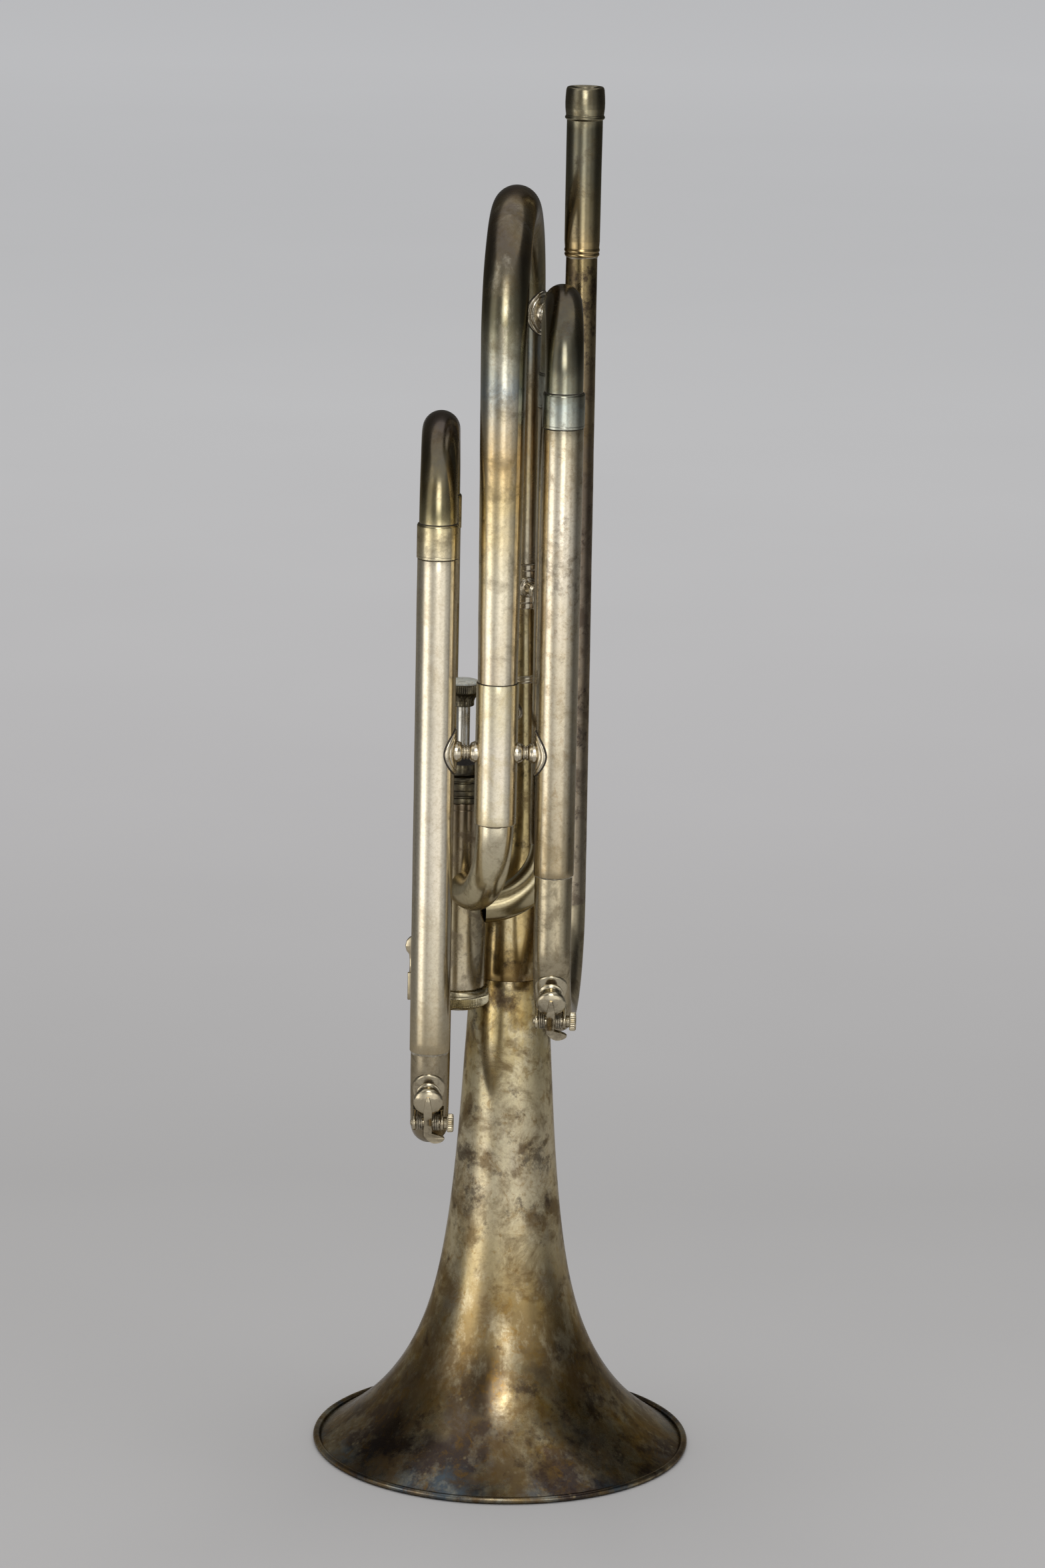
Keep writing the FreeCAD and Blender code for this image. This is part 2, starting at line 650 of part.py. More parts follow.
def finger_button():
    """A waisted button with a knurled rim, hollow on top for the pearl."""
    body = new_body("finger_button")
    rim = "button_radius"
    turn(body, [
        ("stem_radius - 0.5", "0"), ("4", "0"), ("4.3", "0.3", "-0.3"), ("4.3", "2.2"),
        (rim + " - 0.7", "5.6", "4.2"), (rim, "6.2", "-0.9"), (rim, "8.7"), (rim + " - 0.5", "9.2", "-0.5"),
        (rim + " - 1.3", "9.2"), (rim + " - 1.3", "8"), ("0", "8"), ("0", "4"), ("stem_radius - 0.5", "4")])
    place(body, *VALVE, "button_low")
    keep(body, "finger_button")


def button_pearl():
    body = new_body("button_pearl")
    edge = "button_radius - 1.35"
    turn(body, [("0", "8.02"), (edge, "8.02"), (edge, "9.6"), ("0.6", "10.9", "-15"), ("0", "10.9")])
    place(body, *VALVE, "button_low")
    keep(body, "button_pearl")


def top_cap():
    """A skirted cap with two grooves, and a boss that guides the stem."""
    body = new_body("top_cap")
    skirt, hole, rim = "casing_neck + 0.05", "stem_radius + 0.05", "cap_radius"
    turn(body, [
        (skirt, "0"), (rim + " - 0.3", "0"), (rim, "0.3", "-0.3"), (rim, "2.2"), (rim + " - 0.6", "2.5"),
        (rim + " - 0.6", "3"), (rim, "3.3"), (rim, "8"), (rim + " - 0.6", "8.3"), (rim + " - 0.6", "8.8"),
        (rim, "9.1"), (rim, "9.7"), (rim + " - 0.8", "10.4", "-0.9"), ("6.6", "10.4"),
        ("5.8", "11.2", "1"), ("5.8", "14.6"), (hole, "14.6"), (hole, "5.4"), (skirt, "5.4")])
    place(body, *VALVE, "casing_top")
    keep(body, "top_cap")


def cap_felt():
    body = new_body("cap_felt")
    low, high, hole = "casing_top + 14.65", "button_low - piston_stroke - 0.05", "stem_radius + 0.3"
    turn(body, [(hole, low), ("6.9", low), ("7.2", f"{low} + 0.6", "-0.6"), ("7.2", f"{high} - 0.6"),
                ("6.7", high, "-0.7"), (hole, high)])
    place(body, *VALVE, "0")
    keep(body, "cap_felt")


def bottom_cap():
    """A screw cap with a knurled band and a domed floor under the spring."""
    body = new_body("bottom_cap")
    skirt, rim = "casing_neck + 0.05", "bottom_cap_radius"
    turn(body, [
        ("0", "0"), ("5", "0.3", "-40"), (rim + " - 1.4", "2.2", "-12"), (rim, "3.4", "-1.6"), (rim, "6.4"),
        (rim + " - 0.5", "6.8"), (rim + " - 0.5", "7.4"), (rim + " - 0.1", "7.9"),
        (rim + " - 0.4", "9.45", "-1.5"), (skirt, "9.45"), (skirt, "5.3"), ("8.4", "5.3"), ("8.4", "2.9"), ("0", "2.9")])
    place(body, *VALVE, "casing_low - 9.5")
    keep(body, "bottom_cap")


def coil(x_radius, wire, pitch, turns, placement):
    """A helical spring as one solid."""
    helix = Part.makeLongHelix(pitch, pitch * turns, x_radius)
    slope = math.atan2(pitch, 2 * math.pi * x_radius)
    ring = Part.Wire([Part.makeCircle(wire, Vector(x_radius, 0, 0), Vector(0, math.cos(slope), math.sin(slope)))])
    solid = Part.Wire(helix.Edges).makePipeShell([ring], True, True)
    solid.Placement = placement
    return solid


def valve_spring():
    low = value("casing_low") - 9.5 + 2.9
    high = value("piston_low") + 12
    wire, turns = 0.55, 8
    pitch = (high - low - 2 * wire - 0.3) / turns
    feature = document.addObject("Part::Feature", "valve_spring")
    feature.Shape = coil(4.6, wire, pitch, turns, Placement())
    feature.Placement = Placement(Vector(value(VALVE[0]), value(VALVE[1]), low + wire + 0.1), Rotation())
    keep(feature, "valve_spring")


# ---------------------------------------------------------------- braces

def oval_prism(long_radius, short_radius, length, placement):
    """An oval bar that starts at the placement and runs along its +Z."""
    oval = document.addObject("Part::Ellipse", "oval")
    bind(oval, "MajorRadius", long_radius)
    bind(oval, "MinorRadius", short_radius)
    oval.Placement = placement
    prism = document.addObject("Part::Extrusion", "prism")
    prism.Base = oval
    prism.DirMode = "Custom"
    prism.Dir = placement.Rotation.multVec(Vector(0, 0, 1))
    prism.LengthFwd = length
    prism.Solid = True
    return prism


def outside_of_bend(front, back, half, height, radius):
    """A solid as thick as a bend's outside, to fit plates to it."""
    solid = document.addObject("Part::Torus", "bend_outside")
    bind(solid, "Radius1", half)
    bind(solid, "Radius2", radius)
    turned = heading(front, back)
    centre = turned.multVec(Vector(value(half), 0, 0)) + Vector(value(front[0]), value(front[1]), value(height))
    solid.Placement = Placement(centre, turned.multiply(Rotation(Vector(1, 0, 0), 90)))
    return solid


def saddle(at, tube, height, angle):
    """An oval plate bent round a tube, facing the compass angle."""
    outwards = Rotation(Vector(0, 0, 1), angle).multiply(Rotation(Vector(0, 1, 0), 90))
    centre = Vector(value(at[0]), value(at[1]), value(height))
    prism = oval_prism("saddle_half_height", "saddle_half_width", 14, Placement(centre, outwards))
    shell = plain_tube(*at, f"{height} - 12", "24", f"{tube} + saddle_sheet", f"{tube} + 0.02")
    plate = document.addObject("Part::Common", "saddle")
    plate.Base = shell
    plate.Tool = prism
    return plate


def brace(label, start, start_radius, end, end_radius, height, lift="0"):
    """A turned stay between two upright tubes: foot, bulb, ringed neck, bulb, foot."""
    body = new_body(label + "_blank")
    sunk = "1.6"
    length = f"({spacing(start, end)} - ({start_radius}) - ({end_radius}) + 2 * {sunk})"
    middle = length + " / 2"
    half = [("0", "0"), ("brace_foot", "0"), ("brace_foot", f"{sunk} + 0.4"), ("brace_ball", f"{sunk} + 0.6"),
            ("brace_neck", f"{sunk} + 2.1", "-3"), ("brace_neck", f"{middle} - 0.7"),
            ("brace_ring", f"{middle} - 0.55"), ("brace_ring", f"{middle} - 0.2"), ("brace_neck", f"{middle} - 0.1")]
    other_half = [(radius, f"{length} - ({height})") for radius, height, *arc in reversed(half)]
    other_half[5] += ("-3",)
    turn(body, half + other_half)
    way = heading(start, end)
    inset = way.multVec(Vector(value(start_radius) - value(sunk), 0, 0))
    body.Placement = Placement(
        Vector(value(start[0]), value(start[1]), value(height)) + inset,
        way.multiply(Rotation(Vector(0, 1, 0), 90)))
    tubes = [cylinder(*at, f"{height} - 15", radius, "30")
             for at, radius in ((start, start_radius), (end, end_radius))]
    keep(cut(body, *tubes), label)


def stem_radius_at(height):
    """The expression for the stem's outside radius, a little wide, at a height."""
    foot = f"{flare_radius(value('bell_seam_height')):.3f}"
    share = f"(stem_top_height - ({height})) / (stem_top_height - bell_seam_height)"
    return f"stem_top_radius + ({foot} - stem_top_radius) * {share}"


def braces():
    plated = "slide_radius + saddle_sheet + 0.02"
    brace("front_brace_left", LOOP, plated, BOW, "sleeve_radius + 0.02", "brace_height")
    brace("front_brace_right", BOW, "sleeve_radius + 0.02", RIGHT, plated, "brace_height")
    brace("sleeve_brace", BOW, "sleeve_radius + 0.02", BELL, stem_radius_at("brace_height - 5"), "brace_height")
    brace("leg_brace", BELL, "stem_top_radius + 1.22", RIGHT_BACK, plated, "leg_brace_height")
    pipe_radius = ("pipe_top_radius + (tube_radius - pipe_top_radius) * (pipe_top_height - pipe_brace_height + 10)"
                   " / (pipe_top_height - right_bend_height)")
    brace("leadpipe_brace", BELL, "bow_bend_radius + 0.1 + saddle_sheet + 0.02",
          PIPE, f"{pipe_radius} + saddle_sheet + 0.02", "pipe_brace_height")

    def compass(start, end):
        return math.degrees(math.atan2(value(end[1]) - value(start[1]), value(end[0]) - value(start[0])))

    group("front_brace_saddles", [
        saddle(LOOP, "slide_radius", "brace_height", compass(LOOP, BOW)),
        saddle(RIGHT, "slide_radius", "brace_height", compass(RIGHT, BOW))])
    bow_bend = outside_of_bend(BOW, BELL, spacing(BOW, BELL) + " / 2", "bow_height", "bow_bend_radius + 0.12")
    group("rear_brace_saddles", [
        saddle(RIGHT_BACK, "slide_radius", "leg_brace_height", compass(RIGHT_BACK, BELL)),
        cut(saddle(BELL, "bow_bend_radius + 0.1", "pipe_brace_height", compass(BELL, PIPE)), bow_bend),
        saddle(PIPE, pipe_radius, "pipe_brace_height", compass(PIPE, BELL))])


def finger_hook():
    """A strip that leaves the lower back leg, runs back and turns up to a round paddle."""
    strip = new_body("hook_strip")
    sketch = new_sketch(strip, "YZ_Plane")
    draw(sketch, [("0", "0"), ("21", "0"), ("29", "8", "-8"), ("29", "15"), ("27.2", "15"), ("27.2", "8"),
                  ("21", "1.8", "6.2"), ("1.8", "1.8"), ("1.8", "12"), ("0", "12")])
    pad(strip, sketch, "5.2", True)
    left = "loop_x - tube_radius - 0.4"
    place(strip, left, "loop_back_y - 3", "193")
    end = cylinder(left, "loop_back_y - 3 + 27.2", "209", "4.35", "1.8", Rotation(Vector(1, 0, 0), -90))
    joined = document.addObject("Part::Fuse", "hook")
    joined.Base = strip
    joined.Tool = end
    leg = cylinder(*LOOP_BACK, "180", "tube_radius + 0.02", "50")
    keep(cut(joined, leg), "finger_hook")


# ---------------------------------------------------------------- water keys

def key_disc(label, frame, corners):
    """A turned sub-part of a water key."""
    body = new_body(label)
    turn(body, corners)
    body.Placement = frame
    keep(body, label)


def water_key(side, front, back, height, angle):
    half = spacing(front, back) + " / 2"
    frame = key_frame(front, height, half, angle)
    across = frame.multiply(Placement(Vector(0, value("pivot_back"), value("pivot_rise")),
                                      Rotation(Vector(0, 1, 0), 90)))

    def tube_solid(extra):
        return outside_of_bend(front, back, half, height, f"tube_radius + {extra}")

    # oval plate under the nipple, bent to the tube
    turned = Placement(Vector(0, 1, -5), Rotation(Vector(0, 0, 1), 90))
    plate = document.addObject("Part::Common", "plate")
    plate.Base = oval_prism("7.4", "6.5", 6, frame.multiply(turned))
    plate.Tool = tube_solid("0.7")
    hole = document.addObject("Part::Cylinder", "hole")
    bind(hole, "Radius", "nipple_radius + 0.02")
    bind(hole, "Height", "12")
    hole.Placement = frame.multiply(Placement(Vector(0, 0, -6), Rotation()))
    keep(cut(plate, tube_solid("0.02"), hole), side + "_drain_plate")

    # nipple with a fillet of solder at its foot
    nipple = new_body(side + "_nipple_blank")
    turn(nipple, [("drain_radius", "-1.3"), ("nipple_radius", "-1.3"), ("nipple_radius", "nipple_height - 0.9"),
                  ("nipple_radius - 0.9", "nipple_height", "-1.1"), ("drain_radius", "nipple_height")])
    nipple.Placement = frame
    keep(cut(nipple, tube_solid("0.02")), side + "_drain_nipple")

    # cup and cork
    key_disc(side + "_key_cup", frame, [
        ("0", "6.7"), ("cup_radius - 0.8", "6.7"), ("cup_radius - 0.8", "5"), ("cup_radius - 0.2", "5"),
        ("cup_radius", "5.2", "-0.2"), ("cup_radius", "6.6"), ("cup_radius - 0.6", "7.25", "-0.9"),
        ("2.2", "8.8", "-40"), ("0", "8.8")])
    key_disc(side + "_key_cork", frame, [
        ("0", "4.2"), ("cork_radius - 0.3", "4.2"), ("cork_radius", "4.5", "-0.3"), ("cork_radius", "6.65"),
        ("0", "6.65")])

    # lever: a bent strip, a hinge barrel and a thumb tab on the +X side
    lever = new_body(side + "_key_lever")
    strip = new_sketch(lever, "YZ_Plane")
    draw(strip, [("2.6", "8.9"), ("-2.2", "8.9"), ("-8.6", "6.3", "90"), ("-11", "5.1"), ("-15", "3.7"),
                 ("-19.6", "4.2", "9"), ("-19.8", "5.5"), ("-15.2", "5"), ("-11", "6.4"), ("-8.2", "7.7"),
                 ("-1.8", "10.3", "-30"), ("1", "10")])
    pad(lever, strip, "2 * lever_half_width", True)
    barrel = new_sketch(lever, "YZ_Plane", "-(lug_inside - 0.15)")
    draw_circle(barrel, "pivot_back", "pivot_rise", "barrel_radius")
    pad(lever, barrel, "2 * (lug_inside - 0.15)")
    tab = new_sketch(lever, "YZ_Plane")
    draw(tab, [("-16.2", "3.8"), ("-19.6", "4.2", "9"), ("-19.8", "5.5"), ("-16.2", "5.1")])
    pad(lever, tab, "6.6")
    document.recompute()
    bore = new_sketch(lever, "YZ_Plane", "-(lug_inside + 1)")
    draw_circle(bore, "pivot_back", "pivot_rise", "screw_radius + screw_clearance")
    hole = lever.newObject("PartDesign::Pocket", "bore")
    hole.Profile = bore
    hole.Reversed = True
    bind(hole, "Length", "2 * (lug_inside + 1)")
    lever.Placement = frame
    keep(lever, side + "_key_lever")

    # hinge saddle: two lugs on a plate
    lugs = new_body(side + "_lugs")
    for inner in ("lug_inside", "-(lug_inside + lug_sheet)"):
        outline = new_sketch(lugs, "YZ_Plane", inner)
        draw(outline, [("pivot_back + lug_round", "-5.2"), ("pivot_back + lug_round", "pivot_rise"),
                       ("pivot_back - lug_round", "pivot_rise", "lug_round + 0.0001"),
                       ("pivot_back - lug_round", "-5.2")])
        pad(lugs, outline, "lug_sheet")
        if inner == "lug_inside":
            base = new_sketch(lugs, "YZ_Plane", "-(lug_inside + lug_sheet)")
            draw(base, [("pivot_back + lug_round", "-5.2"), ("pivot_back + lug_round", "-0.6"),
                        ("pivot_back - lug_round", "-1.2"), ("pivot_back - lug_round", "-5.2")])
            pad(lugs, base, "2 * (lug_inside + lug_sheet)")
    lugs.Placement = frame
    pin = document.addObject("Part::Cylinder", "pin_hole")
    bind(pin, "Radius", "screw_radius + 0.01")
    bind(pin, "Height", "20")
    pin.Placement = across.multiply(Placement(Vector(0, 0, -10), Rotation()))
    keep(cut(lugs, tube_solid("0.02"), pin), side + "_key_saddle")

    # hinge screw with a round head on the +X side
    screw = new_body(side + "_key_screw")
    start = "lug_inside + lug_sheet"
    turn(screw, [
        ("0", "0"), ("screw_radius - 0.2", "0"), ("screw_radius", "0.2"), ("screw_radius", f"7 + {start}"),
        ("2.3", f"7 + {start}"), ("2.3", f"8.3 + {start}"), ("3.3", f"8.3 + {start}"), ("3.65", f"8.7 + {start}"),
        ("3.65", f"10.5 + {start}"), ("3.2", f"10.9 + {start}"), ("0", f"10.9 + {start}")])
    screw.Placement = across.multiply(Placement(Vector(0, 0, -7.0 + 0.02), Rotation()))
    keep(screw, side + "_key_screw")

    # double coil spring, one coil each side of the lever
    feature = document.addObject("Part::Feature", side + "_key_spring")
    coils = []
    for start in (value("lever_half_width") + 0.5, -value("lug_inside") + 0.5):
        at = across.multiply(Placement(Vector(0, 0, start), Rotation()))
        coils.append(coil(value("coil_radius"), value("coil_wire"), 0.86, 2.6, at))
    feature.Shape = Part.Compound(coils)
    feature.Placement = Placement()
    keep(feature, side + "_key_spring")


# ---------------------------------------------------------------- assembly

bell_flare()
rim_wire()
stem()
collar("stem_ring", "stem_ring_height", "stem_ring_length", stem_radius_at("stem_ring_height") + " + 0.03", "0.8")
collar("stem_ferrule", "stem_top_height - ferrule_length / 2", "ferrule_length", "stem_top_radius + 0.4", "0.8")
bow()
bow_sleeve()
port_crook("outlet_crook", BOW, "sleeve_low", "outlet_port_height", "outlet_blank", "12")
leadpipe()
receiver()
bottom_bend("right_bottom_bend", RIGHT, PIPE, "right_bend_height", "right_leg_low + 12", "right_key_angle")
outer_leg("main_slide_outer_front", RIGHT, "right_leg_low", "right_leg_top")
outer_leg("main_slide_outer_back", RIGHT_BACK, "right_leg_low + 1", "right_leg_top")
port_crook("inlet_crook", RIGHT_BACK, "right_leg_low + 1", "inlet_port_height", "inlet_blank", "12")
slide("main_slide", RIGHT, RIGHT_BACK, "right_leg_top", "main_crook_height", "main_inner_length")
outer_leg("valve_slide_outer_front", LOOP, "loop_front_low", "loop_leg_top")
outer_leg("valve_slide_outer_back", LOOP_BACK, "loop_high_port + loop_elbow_radius + 1", "loop_leg_top")
loop_elbow("loop_upper_elbow", "loop_high_port", True, "loop_high_port + loop_elbow_radius + 13")
loop_elbow("loop_lower_elbow", "loop_low_port", False, "loop_bend_height")
bottom_bend("left_bottom_bend", LOOP, LOOP_BACK, "loop_bend_height", "loop_front_low + 12", "left_key_angle")
slide("valve_slide", LOOP, LOOP_BACK, "loop_leg_top", "loop_crook_height", "loop_inner_length")
valve_casing()
piston()
piston_guide()
piston_stem()
finger_button()
button_pearl()
top_cap()
cap_felt()
bottom_cap()
valve_spring()
braces()
finger_hook()
water_key("right", RIGHT, PIPE, "right_bend_height", "right_key_angle")
water_key("left", LOOP, LOOP_BACK, "loop_bend_height", "left_key_angle")

document.recompute()
for thing in document.Objects:
    faults = [state for state in thing.State if state in ("Invalid", "Error")]
    if faults:
        raise RuntimeError(f"{thing.Label} ({thing.Name}) is {faults}")
for piece in pieces:
    if piece.Shape.isNull() or not piece.Shape.isValid() or not piece.Shape.Solids:
        raise RuntimeError(f"{piece.Label} has no valid solid")

os.makedirs("parts", exist_ok=True)
for piece in pieces:
    piece.Shape.exportStep(os.path.join("parts", piece.Label + ".step"))
    print(f"{piece.Label:26s} {len(piece.Shape.Solids)} solid(s) {piece.Shape.Volume:10.1f} mm3")
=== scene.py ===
import math

import bmesh
import bpy
from mathutils import Matrix, Vector, noise


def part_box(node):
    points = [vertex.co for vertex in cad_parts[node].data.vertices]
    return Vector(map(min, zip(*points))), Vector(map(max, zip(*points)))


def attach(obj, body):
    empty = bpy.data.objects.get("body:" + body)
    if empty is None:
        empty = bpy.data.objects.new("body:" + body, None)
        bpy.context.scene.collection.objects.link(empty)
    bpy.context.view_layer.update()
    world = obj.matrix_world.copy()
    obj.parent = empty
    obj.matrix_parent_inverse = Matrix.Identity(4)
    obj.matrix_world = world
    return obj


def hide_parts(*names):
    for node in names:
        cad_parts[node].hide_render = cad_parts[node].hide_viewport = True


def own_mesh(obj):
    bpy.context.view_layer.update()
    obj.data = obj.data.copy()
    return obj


# Looks of a one-valve marching horn in tarnished silver plate. Shapes are worked out in millimetres
# in the part's own frame: the bell rim rests on Z = 0, +Z runs up the bell axis, -Y is the front.

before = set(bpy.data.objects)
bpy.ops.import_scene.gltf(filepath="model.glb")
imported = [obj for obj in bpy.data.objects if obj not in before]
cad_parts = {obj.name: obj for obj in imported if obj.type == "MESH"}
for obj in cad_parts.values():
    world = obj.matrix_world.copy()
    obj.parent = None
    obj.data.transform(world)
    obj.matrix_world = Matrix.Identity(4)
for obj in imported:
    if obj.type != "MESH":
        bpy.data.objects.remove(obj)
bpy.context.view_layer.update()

MM = 0.001
TAU = 2 * math.pi
UP, DOWN = 1, -1
TINY = 1e-6


# ---------------- places, read from the frame

class Span:
    """Middle, half width and heights of a CAD node, in millimetres."""

    def __init__(self, node):
        low, high = (Vector(corner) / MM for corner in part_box(node))
        self.x, self.y = (low.x + high.x) / 2, (low.y + high.y) / 2
        self.front = low.y
        self.radius = (high.x - low.x) / 2
        self.bottom, self.top = low.z, high.z
        self.middle = (low.z + high.z) / 2
        self.plan = Vector((self.x, self.y, 0))


RIGHT_LEG, RIGHT_BACK = Span("main_slide_outer_front"), Span("main_slide_outer_back")
LEFT_LEG, LEFT_BACK = Span("valve_slide_outer_front"), Span("valve_slide_outer_back")
SLEEVE, PIPE, RECEIVER = Span("bow_sleeve"), Span("leadpipe"), Span("mouthpiece_receiver")
BELL, STEM = Span("bell_flare"), Span("bell_stem")
STEM_AXIS = Vector((0, 0, 0))
VALVE = Span("valve_casing").plan

# outside radii of the tubes, and thicknesses
TUBE = Span("valve_slide_crook").radius
BOW_TUBE, BOW_FRONT, STEM_TOP, PIPE_TOP = 8.9, 7.55, 9.6, 6.1
WALL, SHEET, SADDLE = 0.7, 0.8, 0.9
SEAM_GAP = 0.25
SIDES = 96              # of a turned part
UNEVEN_MM = 14          # size of the unevenness of a bent tube
BEND_STEP = 3           # millimetres, or degrees, between the points of a tube's path


# ---------------- mesh tools

PAINT = {}              # the materials, by name


def build(name, parts, paint, slot, nodes=(), body="horn", crease=32):
    """One object from (vertices, faces) parts, smooth except along sharp edges."""
    verts, faces = [], []
    for part_verts, part_faces in parts:
        base = len(verts)
        verts += [Vector(v) * MM for v in part_verts]
        faces += [[base + i for i in face] for face in part_faces]
    mesh = bpy.data.meshes.new(name)
    mesh.from_pydata(verts, [], faces)
    work = bmesh.new()
    work.from_mesh(mesh)
    bmesh.ops.recalc_face_normals(work, faces=work.faces)
    limit = math.radians(crease)
    for edge in work.edges:
        edge.smooth = len(edge.link_faces) == 2 and edge.calc_face_angle(0) < limit
    for face in work.faces:
        face.smooth = True
    work.to_mesh(mesh)
    work.free()
    piece = bpy.data.objects.new(name, mesh)
    bpy.context.scene.collection.objects.link(piece)
    mesh.materials.append(PAINT[paint])
    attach(piece, body)
    if nodes:
        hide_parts(*nodes)
    return piece


def skin(rings, loop=True, caps=False):
    """Vertices and faces of a surface through rings of points; a ring of one point is a pole."""
    verts, rows = [], []
    for ring in rings:
        rows.append(list(range(len(verts), len(verts) + len(ring))))
        verts += ring
    faces = [rows[0][::-1], rows[-1]] if caps else []
    for first, second in zip(rows, rows[1:] + rows[:1] * loop):
        for k in range(max(len(first), len(second))):
            corners = [row[i % len(row)] for row, i in
                       ((first, k), (first, k + 1), (second, k + 1), (second, k))]
            face = list(dict.fromkeys(corners))
            if len(face) > 2:
                faces.append(face)
    return verts, faces


def above(height):
    return Vector((0, 0, height))


def polar(radius, angle, height=0):
    return Vector((radius * math.cos(angle), radius * math.sin(angle), height))


def moved(out, lift, *points):
    """Points of an outline, moved outwards and upwards."""
    return [(radius + out, height + lift) for radius, height in points]


def upright(plan, lift=0):
    return Matrix.Translation(plan + above(lift))


def tilted(degrees, axis):
    return Matrix.Rotation(math.radians(degrees), 4, axis)


def soften(points, radius=0.15, steps=2):
    """Rounds the corners of a closed outline. Points on the axis stay sharp."""
    result = []
    for i, point in enumerate(points):
        corner = Vector(point)
        if corner.x < TINY:
            result.append(point)
            continue
        before, after = Vector(points[i - 1]), Vector(points[(i + 1) % len(points)])
        reach = min(radius, (before - corner).length * 0.45, (after - corner).length * 0.45)
        start = corner + (before - corner).normalized() * reach
        end = corner + (after - corner).normalized() * reach
        for step in range(steps + 1):
            t = step / steps
            result.append(tuple(start * (1 - t) ** 2 + corner * 2 * t * (1 - t) + end * t * t))
    return result


def divide(points, longest):
    """Adds points so that no side of the closed outline is longer than that."""
    result = []
    for start, end in zip(points, points[1:] + points[:1]):
        start, end = Vector(start), Vector(end)
        pieces = max(1, math.ceil((end - start).length / longest))
        result += [tuple(start.lerp(end, k / pieces)) for k in range(pieces)]
    return result


def lathe(profile, sides=SIDES, at=None, shape=None):
    """A closed outline of (radius, height) turned about Z.

    shape(angle, radius, height) gives how far a point moves outwards and upwards."""
    rings = []
    for radius, height in profile:
        ring = []
        for k in range(sides if radius > TINY else 1):
            angle = TAU * k / sides
            out, rise = shape(angle, radius, height) if shape and radius > TINY else (0, 0)
            ring.append(polar(radius + out, angle, height + rise))
        rings.append(ring)
    verts, faces = skin(rings)
    return [at @ v for v in verts] if at else verts, faces


def turned(name, outline, paint, slot, node, at=None, shape=None, soft=0.15, steps=2, longest=None,
           sides=SIDES, body="horn"):
    """A turned piece that stands for one CAD node."""
    outline = soften(outline, soft, steps)
    if longest:
        outline = divide(outline, longest)
    return build(name, [lathe(outline, sides, at, shape)], paint, slot, [node], body)


def wander(point, size, seed=0):
    """A smooth random number from -1 to 1 that changes over that many millimetres."""
    return noise.noise(Vector(point) / size + Vector((seed, seed * 1.7, seed * 0.3)))


def pipe(path, radii, wall=WALL, sides=72, uneven=0.03, seed=0):
    """A hollow tube along a path, a little uneven as hand-bent tube is."""
    count = len(path)
    radii = radii if isinstance(radii, list) else [radii] * count
    tangents = [(path[min(i + 1, count - 1)] - path[max(i - 1, 0)]).normalized() for i in range(count)]
    side = tangents[0].orthogonal().normalized()
    outer, inner = [], []
    for i, centre in enumerate(path):
        if i:
            side = tangents[i - 1].rotation_difference(tangents[i]) @ side
        side = (side - tangents[i] * side.dot(tangents[i])).normalized()
        other = tangents[i].cross(side)
        ways = [side * math.cos(TAU * k / sides) + other * math.sin(TAU * k / sides) for k in range(sides)]
        bumps = [uneven * wander(centre + way * radii[i], UNEVEN_MM, seed) for way in ways]
        outer.append([centre + way * (radii[i] + bump) for way, bump in zip(ways, bumps)])
        inner.append([centre + way * (radii[i] - wall) for way in ways])
    return skin(outer + inner[::-1])


def line(start, end):
    """Points from start to just before end."""
    count = max(1, math.ceil((end - start).length / BEND_STEP))
    return [start.lerp(end, k / count) for k in range(count)]


def turn(start, heading, rises, radius, sweep):
    """Points along a bend that leaves an upright tube; the last point is left out."""
    centre = start + heading * radius
    count = max(4, round(sweep / BEND_STEP))
    points = []
    for k in range(count):
        angle = math.radians(sweep * k / count)
        points.append(centre - heading * radius * math.cos(angle)
                      + above(rises * radius * math.sin(angle)))
    return points


def u_path(front, back, front_end, height, back_end, rises):
    """Front leg, half turn and back leg."""
    heading = (back - front).normalized()
    radius = (back - front).length / 2
    lift = above(height)
    path = line(front + above(front_end), front + lift)
    path += turn(front + lift, heading, rises, radius, 180)
    path += line(back + lift, back + above(back_end))
    return path + [back + above(back_end)]


def elbow_path(start, end_height, port_height, radius, rises):
    """From an upright leg, round a quarter turn, level to the valve casing's wall."""
    wall = 9.8
    heading = (VALVE - start).normalized()
    level = above(port_height)
    corner = start + above(port_height - rises * radius)
    path = line(start + above(end_height), corner) + turn(corner, heading, rises, radius, 90)
    goal = VALVE - heading * wall + level
    begin = start + heading * radius + level
    path += line(begin, goal) if (goal - begin).dot(heading) > 0.5 else []
    return path + [goal]


def ring_tube(radius, bore, low, high, soft=SEAM_GAP):
    """Outline of a plain sleeve with softened ends."""
    return soften([(bore, low), (radius, low), (radius, high), (bore, high)], soft, 3)


def uneven_shape(plan, amount, size, seed, beyond=0):
    """Small, smooth unevenness of a turned tube's outside, inwards only."""
    def shape(angle, radius, height):
        if radius < beyond:
            return 0, 0
        return amount * (wander(plan + polar(radius, angle, height), size, seed) - 0.6), 0
    return shape


def sleeve(name, span, bore, paint, node, seed):
    """A slide leg or ferrule as a finely divided, slightly uneven sleeve."""
    outline = divide(ring_tube(span.radius, bore, span.bottom, span.top - SEAM_GAP), 4)
    shape = uneven_shape(span.plan, 0.05, 18, seed, bore + 0.2)
    build(name, [lathe(outline, SIDES, upright(span.plan), shape)], paint, "tube_plate", [node])


# ---------------- material tools

